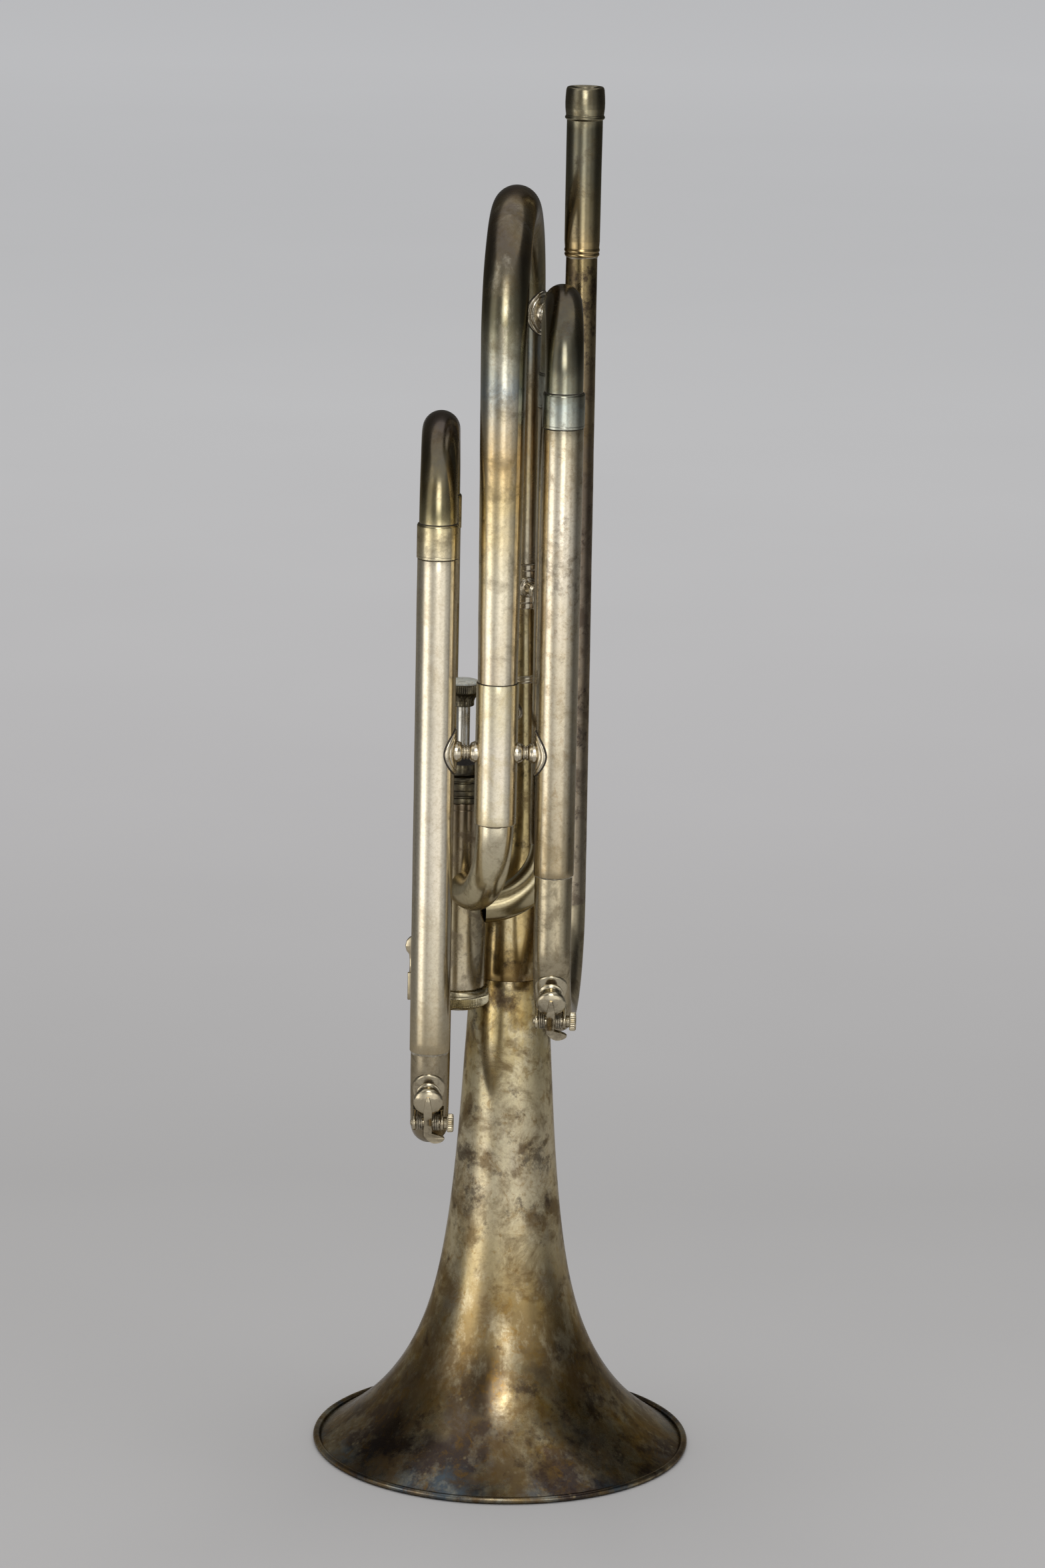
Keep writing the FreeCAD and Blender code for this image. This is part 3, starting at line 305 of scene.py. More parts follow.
class Paint:
    """A node material under construction."""

    def __init__(self, name):
        self.material = bpy.data.materials.new(name)
        self.material.use_nodes = True
        self.tree = self.material.node_tree
        self.shader = self.tree.nodes["Principled BSDF"]
        self.place = self.node("ShaderNodeTexCoord").outputs["Object"]

    def node(self, kind, **settings):
        made = self.tree.nodes.new(kind)
        for key, value in settings.items():
            setattr(made, key, value)
        return made

    def feed(self, socket, value):
        if isinstance(value, bpy.types.NodeSocket):
            self.tree.links.new(value, socket)
        else:
            socket.default_value = value

    def stretched(self, x, y, z):
        mapping = self.node("ShaderNodeMapping")
        self.feed(mapping.inputs["Vector"], self.place)
        mapping.inputs["Scale"].default_value = (x, y, z)
        return mapping.outputs["Vector"]

    def cloud(self, size_mm, detail=4, rough=0.55, warp=0.0, place=None):
        """Cloudy noise whose patches are about that many millimetres across."""
        made = self.node("ShaderNodeTexNoise")
        self.feed(made.inputs["Vector"], place or self.place)
        for key, number in (("Scale", 1 / (size_mm * MM)), ("Detail", detail), ("Roughness", rough),
                            ("Distortion", warp)):
            made.inputs[key].default_value = number
        return made.outputs["Fac"]

    def spots(self, size_mm):
        made = self.node("ShaderNodeTexVoronoi")
        self.feed(made.inputs["Vector"], self.place)
        made.inputs["Scale"].default_value = 1 / (size_mm * MM)
        return made.outputs["Distance"]

    def calc(self, kind, a, b=0.0):
        made = self.node("ShaderNodeMath", operation=kind)
        self.feed(made.inputs[0], a)
        self.feed(made.inputs[1], b)
        return made.outputs[0]

    def times(self, a, b):
        return self.calc("MULTIPLY", a, b)

    def plus(self, a, b):
        return self.calc("ADD", a, b)

    def off(self, a, middle):
        """How far a is above the middle of its range."""
        return self.calc("SUBTRACT", a, middle)

    def between(self, value, low, high, to_low=0.0, to_high=1.0):
        """Rescales value from low..high, held at the ends."""
        made = self.node("ShaderNodeMapRange")
        for key, number in (("Value", value), ("From Min", low), ("From Max", high),
                            ("To Min", to_low), ("To Max", to_high)):
            self.feed(made.inputs[key], number)
        return made.outputs["Result"]

    def mix(self, amount, a, b):
        made = self.node("ShaderNodeMix", data_type="RGBA")
        factor, first, second, result = 0, 6, 7, 2
        self.feed(made.inputs[factor], amount)
        self.feed(made.inputs[first], colour(a))
        self.feed(made.inputs[second], colour(b))
        return made.outputs[result]

    def layer(self, base, shown, amount, tone):
        """A stain over the base."""
        return self.mix(self.times(shown, amount), base, tone)

    def ramp(self, value, stops):
        """Colours by value. stops is a line such as "0 e4dac6, 0.5 cdbb8c", or a list of pairs."""
        if isinstance(stops, str):
            stops = [stop.split() for stop in stops.split(", ")]
        made = self.node("ShaderNodeValToRGB")
        self.feed(made.inputs["Fac"], value)
        elements = made.color_ramp.elements
        elements.remove(elements[-1])
        elements[0].position, elements[0].color = float(stops[0][0]), colour(stops[0][1])
        for where, tint in stops[1:]:
            elements.new(float(where)).color = colour(tint)
        return made.outputs["Color"]

    def axis(self, letter):
        split = self.node("ShaderNodeSeparateXYZ")
        self.feed(split.inputs[0], self.place)
        return split.outputs[letter]

    def bump(self, *layers):
        """Adds (height, depth in millimetres) layers of relief."""
        normal = None
        for height, depth in layers:
            made = self.node("ShaderNodeBump")
            made.inputs["Strength"].default_value = 1.0
            made.inputs["Distance"].default_value = depth * MM
            self.feed(made.inputs["Height"], height)
            if normal is not None:
                self.feed(made.inputs["Normal"], normal)
            normal = made.outputs["Normal"]
        self.feed(self.shader.inputs["Normal"], normal)

    def finish(self, base, roughness, metallic=1.0, tint=None):
        self.feed(self.shader.inputs["Base Color"], base)
        self.feed(self.shader.inputs["Roughness"], roughness)
        self.feed(self.shader.inputs["Metallic"], metallic)
        if tint:
            self.shader.inputs["Specular Tint"].default_value = colour(tint)
        return self.material


def colour(text):
    """Linear RGBA from a hex colour as the eye sees it."""
    if not isinstance(text, str):
        return text
    parts = [int(text[i:i + 2], 16) / 255 for i in (0, 2, 4)]
    linear = [p / 12.92 if p <= 0.04045 else ((p + 0.055) / 1.055) ** 2.4 for p in parts]
    return (*linear, 1.0)


SILVER, STRAW, BROWN = "e4dac6", "cdbb8c", "73603f"
FILM = f"0.32 8b8f92, 0.42 a59d8a, 0.52 {STRAW}, 0.61 bd9742, 0.68 96704f, 0.78 665460"
EDGE_TINT = "d0cbc2"


def plate(name, stops, low, high, dark=(BROWN, 0.45, 0.52), pale=None, black=None, film=0.0, dots=0.0,
          size=16, gloss=(0.2, 0.32), smear=10, relief=0.05, rising=None, flecks=0.15):
    """Tarnished silver plate.

    stops run from the height low to the height high, in millimetres. dark, pale and black are layers of
    stain: a tone, how strong it is, and the noise level above which it shows (0.5 is half of it).
    rising is the pair of heights between which the pale layer comes in."""
    paint = Paint(name + "_plate")
    height = paint.axis("Z")
    drift = paint.times(paint.off(paint.cloud(26, 6, 0.62), 0.5), smear * 3 * MM)
    base = paint.ramp(paint.between(paint.plus(height, drift), low * MM, high * MM), stops)
    # iridescent film, in broad soft areas
    if film:
        tones = paint.ramp(paint.cloud(22, 5, 0.62, place=paint.stretched(1, 1, 0.4)), FILM)
        base = paint.layer(base, paint.between(paint.cloud(36, 5, 0.6), 0.44, 0.62), film, tones)
    if pale:
        tone, amount, level = pale
        streaks = paint.cloud(size * 0.8, 8, 0.72, place=paint.stretched(1, 1, 0.45))
        shown = paint.between(streaks, level, level + 0.1)
        if rising:
            bottom, top = rising
            shown = paint.times(shown, paint.between(height, bottom * MM, top * MM, 0.3, 1.0))
        base = paint.layer(base, shown, amount, tone)
    fine = paint.cloud(size * 0.34, 10, 0.78, 0.7)
    base = paint.layer(base, paint.between(fine, 0.53, 0.62), flecks, "8c6a2c")
    tone, amount, level = dark
    stain = paint.between(paint.cloud(size, 10, 0.7, 0.35), level - 0.02, level + 0.11)
    base = paint.layer(base, stain, amount, tone)
    if black:
        tone, amount, level = black
        spread = paint.times(paint.off(paint.cloud(55, 2), 0.5), 0.5)
        edge = paint.plus(paint.cloud(size * 0.6, 10, 0.74), spread)
        base = paint.layer(base, paint.between(edge, level, level + 0.1), amount, tone)
    if dots:
        marks = paint.between(paint.spots(3.2), 0.12, 0.3, 1.0, 0.0)
        some = paint.between(paint.cloud(14, 3), 0.5, 0.6)
        base = paint.layer(base, paint.times(marks, some), dots, "a39474")
    grain = paint.cloud(1.1, 5, 0.7)
    base = paint.mix(paint.between(grain, 0.45, 0.7, 0.0, 0.22), base, BROWN)
    wipe = paint.cloud(1.2, 4, 0.6, place=paint.stretched(1, 1, 0.05))
    rough = paint.plus(paint.between(stain, 0, 1, *gloss), paint.between(wipe, 0.3, 0.7, -0.02, 0.04))
    paint.bump((paint.cloud(24, 2), relief), (paint.cloud(7, 3), 0.012), (wipe, 0.0012), (grain, 0.003))
    PAINT[name] = paint.finish(base, rough, 1.0, EDGE_TINT)


def simple(name, noise_mm, stops, relief, gloss, metallic=1.0, tint=None, extra=()):
    """A material whose colour and gloss follow one cloudy noise.

    noise_mm is what cloud() takes, relief is (depth, noise) pairs, where the noise None is the same one
    again, and gloss is one roughness or the two at the noise's low and high end."""
    paint = Paint(name)
    film = paint.cloud(*noise_mm)
    base = paint.ramp(film, stops)
    paint.bump(*[(paint.cloud(*grain) if grain else film, depth) for depth, grain in relief])
    for socket, value in extra:
        paint.shader.inputs[socket].default_value = value
    rough = paint.between(film, 0.3, 0.7, *gloss) if isinstance(gloss, tuple) else gloss
    PAINT[name] = paint.finish(base, rough, metallic, tint)


def nickel():
    """Nickel plate on turned parts: fine lines round the axis and a faint yellow film."""
    paint = Paint("nickel")
    lines = paint.cloud(0.35, 3, 0.6, place=paint.stretched(0.15, 0.15, 1))
    film = paint.cloud(6, 5, 0.6)
    base = paint.mix(paint.between(film, 0.45, 0.7, 0.0, 0.5), "c6c4bd", "8f8468")
    paint.bump((lines, 0.003), (paint.cloud(4, 2), 0.01))
    PAINT["nickel"] = paint.finish(base, paint.between(film, 0.3, 0.7, 0.16, 0.32), 1.0, EDGE_TINT)


def cork():
    # brown cork, with painted shade: its tones are darkened for the shade it sits in between the drain
    # plate and the cup
    paint = Paint("cork")
    lumps = paint.cloud(1.1, 6, 0.7)
    pits = paint.between(paint.spots(0.9), 0.1, 0.3)
    base = paint.mix(pits, "2a2019", paint.ramp(lumps, "0.3 3f3226, 0.6 5c4a36, 0.75 705c44"))
    paint.bump((pits, 0.12), (lumps, 0.1))
    PAINT["cork"] = paint.finish(base, 0.85, 0.0)


# ---------------- materials

# Bell: the light bluish first stop on the rolled rim is a painted highlight over the rim's dark bluish
# tarnish.
plate("bell", "0 5a646b, 0.016 4c4b4c, 0.03 4c4340, 0.1 5c4d40, 0.22 6b593f, 0.34 9c865b, 0.46 c2b28b, "
      "0.62 d9cdb0, 0.8 d6c8a0, 0.93 ccb67e, 1 92784a", 0, 200, dark=("6b5434", 0.75, 0.49),
      pale=("e0d4b2", 0.75, 0.5), black=("3b2e2c", 0.7, 0.55), film=0.55, dots=0.75, flecks=0.55,
      size=18, gloss=(0.21, 0.33), smear=12, rising=(25, 120))
plate("stem", "0 8a7248, 0.08 bfa876, 0.4 cfbb86, 0.8 cdbf95, 1 9c8a5e", 200, 361,
      dark=("6d5330", 0.6, 0.52), pale=("e6dab8", 0.5, 0.52), black=("332821", 0.75, 0.57),
      flecks=0.35, gloss=(0.18, 0.32))
# Bow: the bluish stop at 0.6, near the start of the bend, is a painted highlight; the darker stops over the
# top are tarnish with painted shade.
plate("bow", f"0 {SILVER}, 0.24 e2d7bb, 0.36 dcc693, 0.46 c6ab7c, 0.53 b9ae97, 0.6 a0a7a6, "
      "0.67 a9a898, 0.76 8d886f, 0.86 7b7262, 1 7a6e66", 339, 525, dark=("62543a", 0.5, 0.52),
      pale=("e8dfc8", 0.35, 0.54), film=0.35, size=15, smear=12)
plate("sleeve", f"0 e2d8bf, 0.5 {SILVER}, 1 ddd2b2", 282, 339, dark=(STRAW, 0.5, 0.5))
plate("leg", f"0 b8aa8c, 0.12 d3c8ae, 0.35 {SILVER}, 0.95 ddd3bc, 1 c4b79a", 190, 400,
      dark=("a8946e", 0.28, 0.53), film=0.14, size=12, gloss=(0.18, 0.26))
plate("right_leg", f"0 a8997c, 0.3 d3c8b0, 0.8 {SILVER}, 1 c2b89f", 262, 438, dark=("8c7855", 0.4, 0.52),
      black=("5a4c40", 0.45, 0.61), film=0.16, flecks=0.35, size=9, gloss=(0.18, 0.3))
plate("bend", "0 978b76, 0.5 b5a98e, 1 c2b699", 145, 275, dark=("54452f", 0.5, 0.5),
      black=("3b3029", 0.5, 0.6), size=9)
# Both crooks: the stops darken from the start of the bend to the top, tarnish tones with painted shade.
plate("crook", "0 e4d9bc, 0.22 d3c6a0, 0.3 98906f, 0.7 746c59, 1 756b66", 386, 437,
      dark=("5c5040", 0.5, 0.52), film=0.25, size=10, smear=4)
plate("main_crook", "0 bfc1b4, 0.22 a3aaa3, 0.34 868675, 0.7 6c6858, 1 665e58", 436, 489,
      dark=("5a4f41", 0.5, 0.53), film=0.25, size=10, smear=4)
plate("elbow", "0 a89b78, 0.5 dbcfac, 1 e2d8bf", 232, 285, dark=("6b5a37", 0.5, 0.54), size=12)
plate("pipe", "0 b0a48f, 0.35 a09280, 0.6 86786a, 0.85 8f7f62, 1 9c8a60", 235, 500,
      dark=("4e4038", 0.6, 0.48), black=("2c2427", 0.7, 0.54), film=0.3, size=8, gloss=(0.2, 0.34))
plate("receiver", "0 b39c70, 0.2 998c6c, 0.6 858270, 0.82 827e6a, 1 948d78", 494, 560,
      dark=("3e372c", 0.5, 0.52), film=0.25, size=9)
plate("casing", "0 cdc1a6, 0.4 b3a688, 1 7b6f5e", 205, 282, dark=("54463a", 0.55, 0.49),
      black=("33292a", 0.5, 0.58), size=8, gloss=(0.2, 0.34))
plate("brace", "0 d6ccb6, 1 dad1bd", 300, 480, dark=("6a5c45", 0.55, 0.53), size=6, gloss=(0.16, 0.28),
      relief=0.02)
plate("key", "0 bdb197, 1 cfc5ab", 150, 235, dark=("5b4f42", 0.55, 0.52), size=8, gloss=(0.17, 0.3),
      relief=0.02)
plate("cap", "0 cdc4a8, 1 c2b89a", 190, 210, dark=("5f553f", 0.6, 0.5), size=5, relief=0.02)
nickel()
cork()
# nickel gone dark, with dirt in the grooves, for the valve's top cap and button
simple("old_nickel", (5, 6, 0.65, 0.5), "0.3 38352f, 0.5 635d4e, 0.62 857d66, 0.75 a0977c",
       [(0.01, (0.5, 3))], (0.4, 0.24), tint="b9b2a4")
simple("spring_steel", (1.6, 4, 0.6), "0.35 6e675a, 0.55 a89f8c, 0.7 c0b69f", [(0.006, (0.3, 3))],
       (0.45, 0.28))
simple("bare_brass", (3, 5, 0.6), "0.35 6f5330, 0.6 b08a4a, 0.75 c8a562", [(0.008, (0.4, 3))], (0.5, 0.3))
# solder that ran out of a joint: pale, matt and lumpy
simple("solder", (2.2, 5, 0.65, 0.6), "0.3 6e6556, 0.5 a9a08c, 0.68 cfc8b6",
       [(0.09, (1.1, 4)), (0.02, (0.3, 3))], (0.5, 0.3))
# dirt and tarnish that gathers in a seam, with painted shade: the dark of a narrow gap is painted into its
# colour
simple("seam_dirt_and_shade", (1.4, 5, 0.65), "0.3 1d1916, 0.6 3a3128, 0.8 5a4c38", [(0.05, None)], (0.8, 0.5), 0.0)
simple("felt", (0.5, 8, 0.8, 1.5), "0.3 15120f, 0.55 2c2621, 0.75 4b423a", [(0.25, None)], 0.95, 0.0,
       extra=[("Sheen Weight", 0.4)])
simple("pearl", (4, 5, 0.55, 2.5), "0.3 a7a79c, 0.48 d8d6c9, 0.6 c3cbc6, 0.75 e6e1d2", [(0.02, None)],
       0.25, 0.0, extra=[("Coat Weight", 0.6), ("Coat Roughness", 0.08)])


# ---------------- bell and stem

def flare_radius(height):
    """Outside of the bell, as the part has it."""
    return 25.3 - 0.0476 * height + 51.5 * math.exp(-height / 31.6)


def bell():
    rim, bead, lift, top = BELL.radius, 1.4, 1.25, BELL.top
    rows, roll_steps = 90, 30
    heights = [lift + (top - SEAM_GAP - lift) * (k / rows) ** 1.7 for k in range(rows + 1)]
    outside = [(flare_radius(z), z) for z in reversed(heights)]
    # the rolled bead, flattened where it rests
    roll = []
    for k in range(roll_steps + 1):
        angle = math.radians(168 - 318 * k / roll_steps)
        roll.append((rim - bead + bead * math.cos(angle), max(0.0, lift + bead * math.sin(angle))))
    inside = []
    for z in heights[1:]:
        slope = flare_radius(z + 0.5) - flare_radius(z - 0.5)
        normal = Vector((-1, slope)).normalized()
        inside.append((flare_radius(z) + normal.x * SHEET, z + normal.y * SHEET))
    inside = [p for p in inside if p[0] < rim - 2.6 * bead]
    neck = flare_radius(top)
    top_edge = [(neck - SHEET, top - 0.1), (neck - 0.3, top), (neck - 0.08, top - 0.08)]

    def dents(angle, radius, height):
        point = polar(radius, angle, height)
        near_rim = max(0.0, 1 - height / 30)
        broad = 0.16 * near_rim * (wander(point, 30, 9) - 0.7)
        return 0.05 * (wander(point, 22, 5) - 0.7) + broad, 0.0

    build("bell_skin", [lathe(outside + roll + inside + top_edge, 240, None, dents)], "bell",
          "bell_plate", ["bell_flare"])


def stem():
    low, high, foot = STEM.bottom, STEM.top, STEM.radius
    turned("stem_skin", [(foot - SHEET, low), (foot, low), (STEM_TOP, high), (STEM_TOP - SHEET, high)],
           "stem", "stem_plate", "bell_stem", shape=uneven_shape(STEM_AXIS, 0.06, 20, 3),
           soft=SEAM_GAP, steps=3, longest=3, sides=120)
    ring = Span("stem_ring")
    r, a, m, b = ring.radius, ring.bottom, ring.middle, ring.top
    outline = moved(r, a, (-0.9, 0), (-0.25, 0), (0, 0.6)) + moved(r, m, (0, -0.25), (-0.3, 0), (0, 0.25))
    outline += moved(r, b, (0, -0.6), (-0.25, 0), (-0.9, 0))
    turned("stem_ring_skin", outline, "elbow", "dark_plate", "stem_ring", soft=0.2, steps=3)
    ferrule = Span("stem_ferrule")
    r, a, b = ferrule.radius, ferrule.bottom, ferrule.top
    half = [(-SHEET, 0), (-0.1, 0), (0, 0.5), (0, 2.2), (-0.22, 2.5), (0, 2.8)]
    outline = moved(r, a, *half) + moved(r, b, *[(out, -rise) for out, rise in reversed(half)])
    turned("stem_ferrule_skin", outline, "brace", "dark_plate", "stem_ferrule", soft=0.2, steps=3,
           longest=3)


# ---------------- bow, sleeve, crooks and bends

def bow():
    box = Span("bow_tube")
    height = box.top - (STEM_AXIS - SLEEVE.plan).length / 2 - BOW_TUBE
    path = u_path(SLEEVE.plan, STEM_AXIS, box.bottom, height, STEM.top, UP)
    radii = []
    for point in path:
        in_front = (point - SLEEVE.plan).to_2d().length < 1
        low, narrow = (box.bottom, BOW_FRONT) if in_front else (STEM.top, STEM_TOP)
        share = min(1.0, (point.z - low) / (height - low))
        radii.append(narrow + (BOW_TUBE - narrow) * share)
    build("bow_skin", [pipe(path, radii, sides=SIDES, uneven=0.05, seed=2)], "bow", "bow_plate",
          ["bow_tube"])
    sleeve("bow_sleeve_skin", SLEEVE, BOW_FRONT + 0.15, "sleeve", "bow_sleeve", 4)


def crooks_to_valve():
    for name, leg, slot in (("outlet", SLEEVE, "tube_plate"), ("inlet", RIGHT_BACK, "bend_plate")):
        port = Span(name + "_crook").bottom + TUBE
        path = elbow_path(leg.plan, leg.bottom + 6, port, leg.bottom - port, DOWN)
        build(name + "_crook_skin", [pipe(path, TUBE, seed=len(name))], "elbow", slot, [name + "_crook"])


def leadpipe():
    low, high = PIPE.bottom, PIPE.top
    end = PIPE.plan + above(high)
    path = line(PIPE.plan + above(low), end) + [end]
    radii = [TUBE + (PIPE_TOP - TUBE) * (p.z - low) / (high - low) for p in path]
    build("leadpipe_skin", [pipe(path, radii, uneven=0.06, seed=6)], "pipe", "pipe_plate", ["leadpipe"])


def receiver():
    """Double ring, sleeve, bead and barrel; the mouth is open down to the leadpipe."""
    tall = RECEIVER.top - RECEIVER.bottom
    lip, socket, narrow = tall - 11.5, 5.5, 5.3
    outline = [(6.2, 0), (6.5, 0.05), (6.85, 0.4), (6.95, 0.9), (6.8, 1.35), (6.6, 1.55), (6.75, 1.75),
               (7.0, 2.1), (7.0, 2.7), (6.85, 3.05), (6.8, 3.4), (6.98, 6)]
    outline += moved(0, lip, (7.05, -1.3), (7.3, -1.1), (7.75, -0.75), (7.86, -0.3), (7.7, 0.15),
                     (7.42, 0.5), (7.52, 1.2), (7.74, 3.2), (7.8, 5.2), (7.72, 7.6))
    outline += moved(0, tall, (7.5, -1.1), (7.2, -0.3), (6.85, 0), (6.4, -0.05), (6.0, -0.5),
                     (socket, -2), (socket, -28), (narrow, -30))
    outline += [(narrow, 8), (6.2, 7.5)]
    turned("receiver_skin", outline, "receiver", "dark_plate", "mouthpiece_receiver",
           upright(PIPE.plan, RECEIVER.bottom), uneven_shape(PIPE.plan, 0.05, 16, 8), 0.25, longest=3)


def bottom_bends():
    for side, leg, back in (("right", RIGHT_LEG, PIPE.plan), ("left", LEFT_LEG, LEFT_BACK.plan)):
        height = Span(side + "_bottom_bend").bottom + (back - leg.plan).length / 2 + TUBE
        path = u_path(leg.plan, back, leg.bottom + 8, height, height, DOWN)
        build(side + "_bend_skin", [pipe(path, TUBE, uneven=0.05, seed=11 + len(side))], "bend",
              "bend_plate", [side + "_bottom_bend"])


# ---------------- slides

def slide(name, front, back, paint, leg_paint):
    crook, ring, inner = (Span(name + part) for part in ("_crook", "_ferrules", "_inner_tubes"))
    height = crook.top - (back.plan - front.plan).length / 2 - TUBE
    path = u_path(front.plan, back.plan, front.top + 5, height, front.top + 5, UP)
    build(name + "_crook_skin", [pipe(path, TUBE, uneven=0.07, seed=len(name))], paint, "dark_plate",
          [name + "_crook"], name)
    bore, r, low, high = TUBE + 0.02, TUBE + 0.8, ring.bottom, ring.top
    outline = [(bore, low + 4.4), (TUBE - 0.02, low)]
    outline += moved(r, low, (0, 0), (0, 0.9), (-0.06, 1.1), (0, 1.3))
    outline += moved(r, high, (0, -0.7), (-0.35, 0)) + [(bore, high)]
    outline = divide(soften(outline, 0.2, 3), 3)
    rings = [lathe(outline, at=upright(leg.plan)) for leg in (front, back)]
    build(name + "_ferrule_skins", rings, paint, "dark_plate", [name + "_ferrules"], name)
    r = TUBE - 0.04
    outline = divide(ring_tube(r, r - 0.6, inner.bottom, inner.top, 0.2), 6)
    tubes = [lathe(outline, at=upright(leg.plan)) for leg in (front, back)]
    build(name + "_inner_skins", tubes, "nickel", "nickel", [name + "_inner_tubes"], name)
    for place, leg in (("front", front), ("back", back)):
        sleeve(f"{name}_outer_{place}_skin", leg, bore, leg_paint, f"{name}_outer_{place}",
               len(place) + len(name))


def elbows():
    radius = 11.4
    for name, rises in (("loop_upper_elbow", DOWN), ("loop_lower_elbow", UP)):
        box = Span(name)
        port, end = (box.bottom + TUBE, box.top) if rises == DOWN else (box.top - TUBE, box.bottom)
        path = elbow_path(LEFT_BACK.plan, end, port, radius, rises)
        build(name + "_skin", [pipe(path, TUBE, sides=64)], "bend", "bend_plate", [name])


# ---------------- valve

def knurl(teeth, depth, low, high, beyond):
    """Straight knurling cut into the band from low to high."""
    def shape(angle, radius, height):
        if low < height < high and radius > beyond:
            return -depth * abs(math.sin(teeth * angle / 2)), 0
        return 0, 0
    return shape


def casing():
    low, high = 205, 281.5
    body, neck, bore = 10.5, 9.8, 8.54
    outline = [(bore, low - 4), (neck, low - 4), (neck, low)] + moved(body, low, (-0.15, 0), (0, 0.4))
    outline += moved(body, high, (0, -3.2), (0.02, -3), (-0.12, -2.8), (0, -2.6), (0, -0.4), (-0.15, 0))
    outline += [(neck, high), (neck, high + 4), (bore, high + 4)]
    turned("casing_skin", outline, "casing", "bend_plate", "valve_casing", upright(VALVE), soft=0.12,
           longest=4)


def caps():
    top, bottom, felt = Span("top_cap"), Span("bottom_cap"), Span("cap_felt")
    rim, skirt, hole = top.radius, 9.85, 2.8
    outline = [(skirt, 0)] + moved(
        rim, 0, (-0.3, 0), (0, 0.3), (0, 2.2), (-0.6, 2.45), (-0.6, 3), (0, 3.3), (0, 5.0), (-0.25, 5.15),
        (0, 5.3), (0, 8), (-0.6, 8.3), (-0.6, 8.8), (0, 9.1), (0, 9.7), (-0.8, 10.4))
    outline += [(6.6, 10.4), (5.8, 11.2), (5.8, 14.6), (hole, 14.6), (hole, 5.4), (skirt, 5.4)]
    turned("top_cap_skin", outline, "old_nickel", "dark_plate", "top_cap", upright(VALVE, top.bottom),
           longest=3)
    r, low, high, hole = felt.radius, felt.bottom, felt.top, 3.1

    def fuzz(angle, radius, height):
        return 0.25 * (wander(polar(radius, angle, height), 0.7) - 0.5), 0

    outline = [(hole, low), (r - 0.3, low), (r, low + 0.6), (r, high - 0.6), (r - 0.5, high), (hole, high)]
    turned("felt_skin", outline, "felt", "felt", "cap_felt", upright(VALVE), fuzz, 0.4, 3, 0.6, 128)
    rim = bottom.radius
    outline = [(0, 0), (5, 0.3)] + moved(
        rim, 0, (-3.4, 1.3), (-1.4, 2.2), (-0.5, 2.8), (0, 3.4), (0, 4.4), (0, 5.4), (0, 6.3),
        (-0.55, 6.75), (-0.55, 7.3), (-0.12, 7.8), (-0.3, 9.1), (-0.6, 9.45))
    outline += [(skirt, 9.45), (skirt, 5.3), (8.4, 5.3), (8.4, 2.9), (0, 2.9)]
    turned("bottom_cap_skin", outline, "cap", "nickel", "bottom_cap", upright(VALVE, bottom.bottom),
           knurl(96, 0.5, 3.3, 6.4, rim - 0.5), longest=1.2, sides=576)


def plunger():
    """Stem, fluted and knurled finger button, and its pearl."""
    rod, button, disc = Span("piston_stem"), Span("finger_button"), Span("button_pearl")
    body = "valve_piston"
    r, low = rod.radius, rod.bottom
    outline = [(0, low), (r - 0.5, low), (r - 0.5, low + 1.5), (r, low + 1.5), (r, button.bottom - 0.1),
               (r - 0.5, button.bottom), (r - 0.5, rod.top), (0, rod.top)]
    turned("stem_rod_skin", outline, "nickel", "nickel", "piston_stem", upright(VALVE), steps=3, longest=3,
           sides=64, body=body)
    rim = button.radius
    outline = [(2.3, 0), (4.0, 0), (4.3, 0.3), (4.3, 1.2), (4.35, 2.2), (4.9, 3.4), (5.9, 4.7)]
    outline += moved(rim, 0, (-0.7, 5.6), (-0.1, 6.0), (0, 6.3), (0, 7.0), (0, 7.8), (0, 8.6), (-0.4, 9.1),
                     (-0.8, 9.2), (-1.25, 9.1), (-1.3, 8.0))
    outline += [(0, 8.0), (0, 4.0), (2.3, 4.0)]

    def cuts(angle, radius, height):
        low, high = 0.6, 5.2
        if radius > rim - 0.5 and 6.1 < height < 8.8:
            return -0.3 * abs(math.sin(30 * angle)), 0
        if radius >= 3.5 and low < height < high:
            depth = 0.55 * math.sin(math.pi * (height - low) / (high - low))
            return -depth * max(0.0, math.cos(14 * angle)), 0
        return 0, 0

    turned("button_skin", outline, "old_nickel", "nickel", "finger_button",
           upright(VALVE, button.bottom), cuts, longest=0.8, sides=360, body=body)
    edge, low, high = disc.radius, disc.bottom, disc.top
    dome = [math.radians(12 + 13 * k) for k in range(6)]
    outline = [(0, low), (edge, low), (edge, low + 1.3)]
    outline += [(edge * math.cos(a), low + 1.4 + (high - low - 1.4) * math.sin(a)) for a in dome]
    turned("pearl_skin", outline + [(0, high)], "pearl", "pearl", "button_pearl", upright(VALVE), body=body)


# ---------------- braces

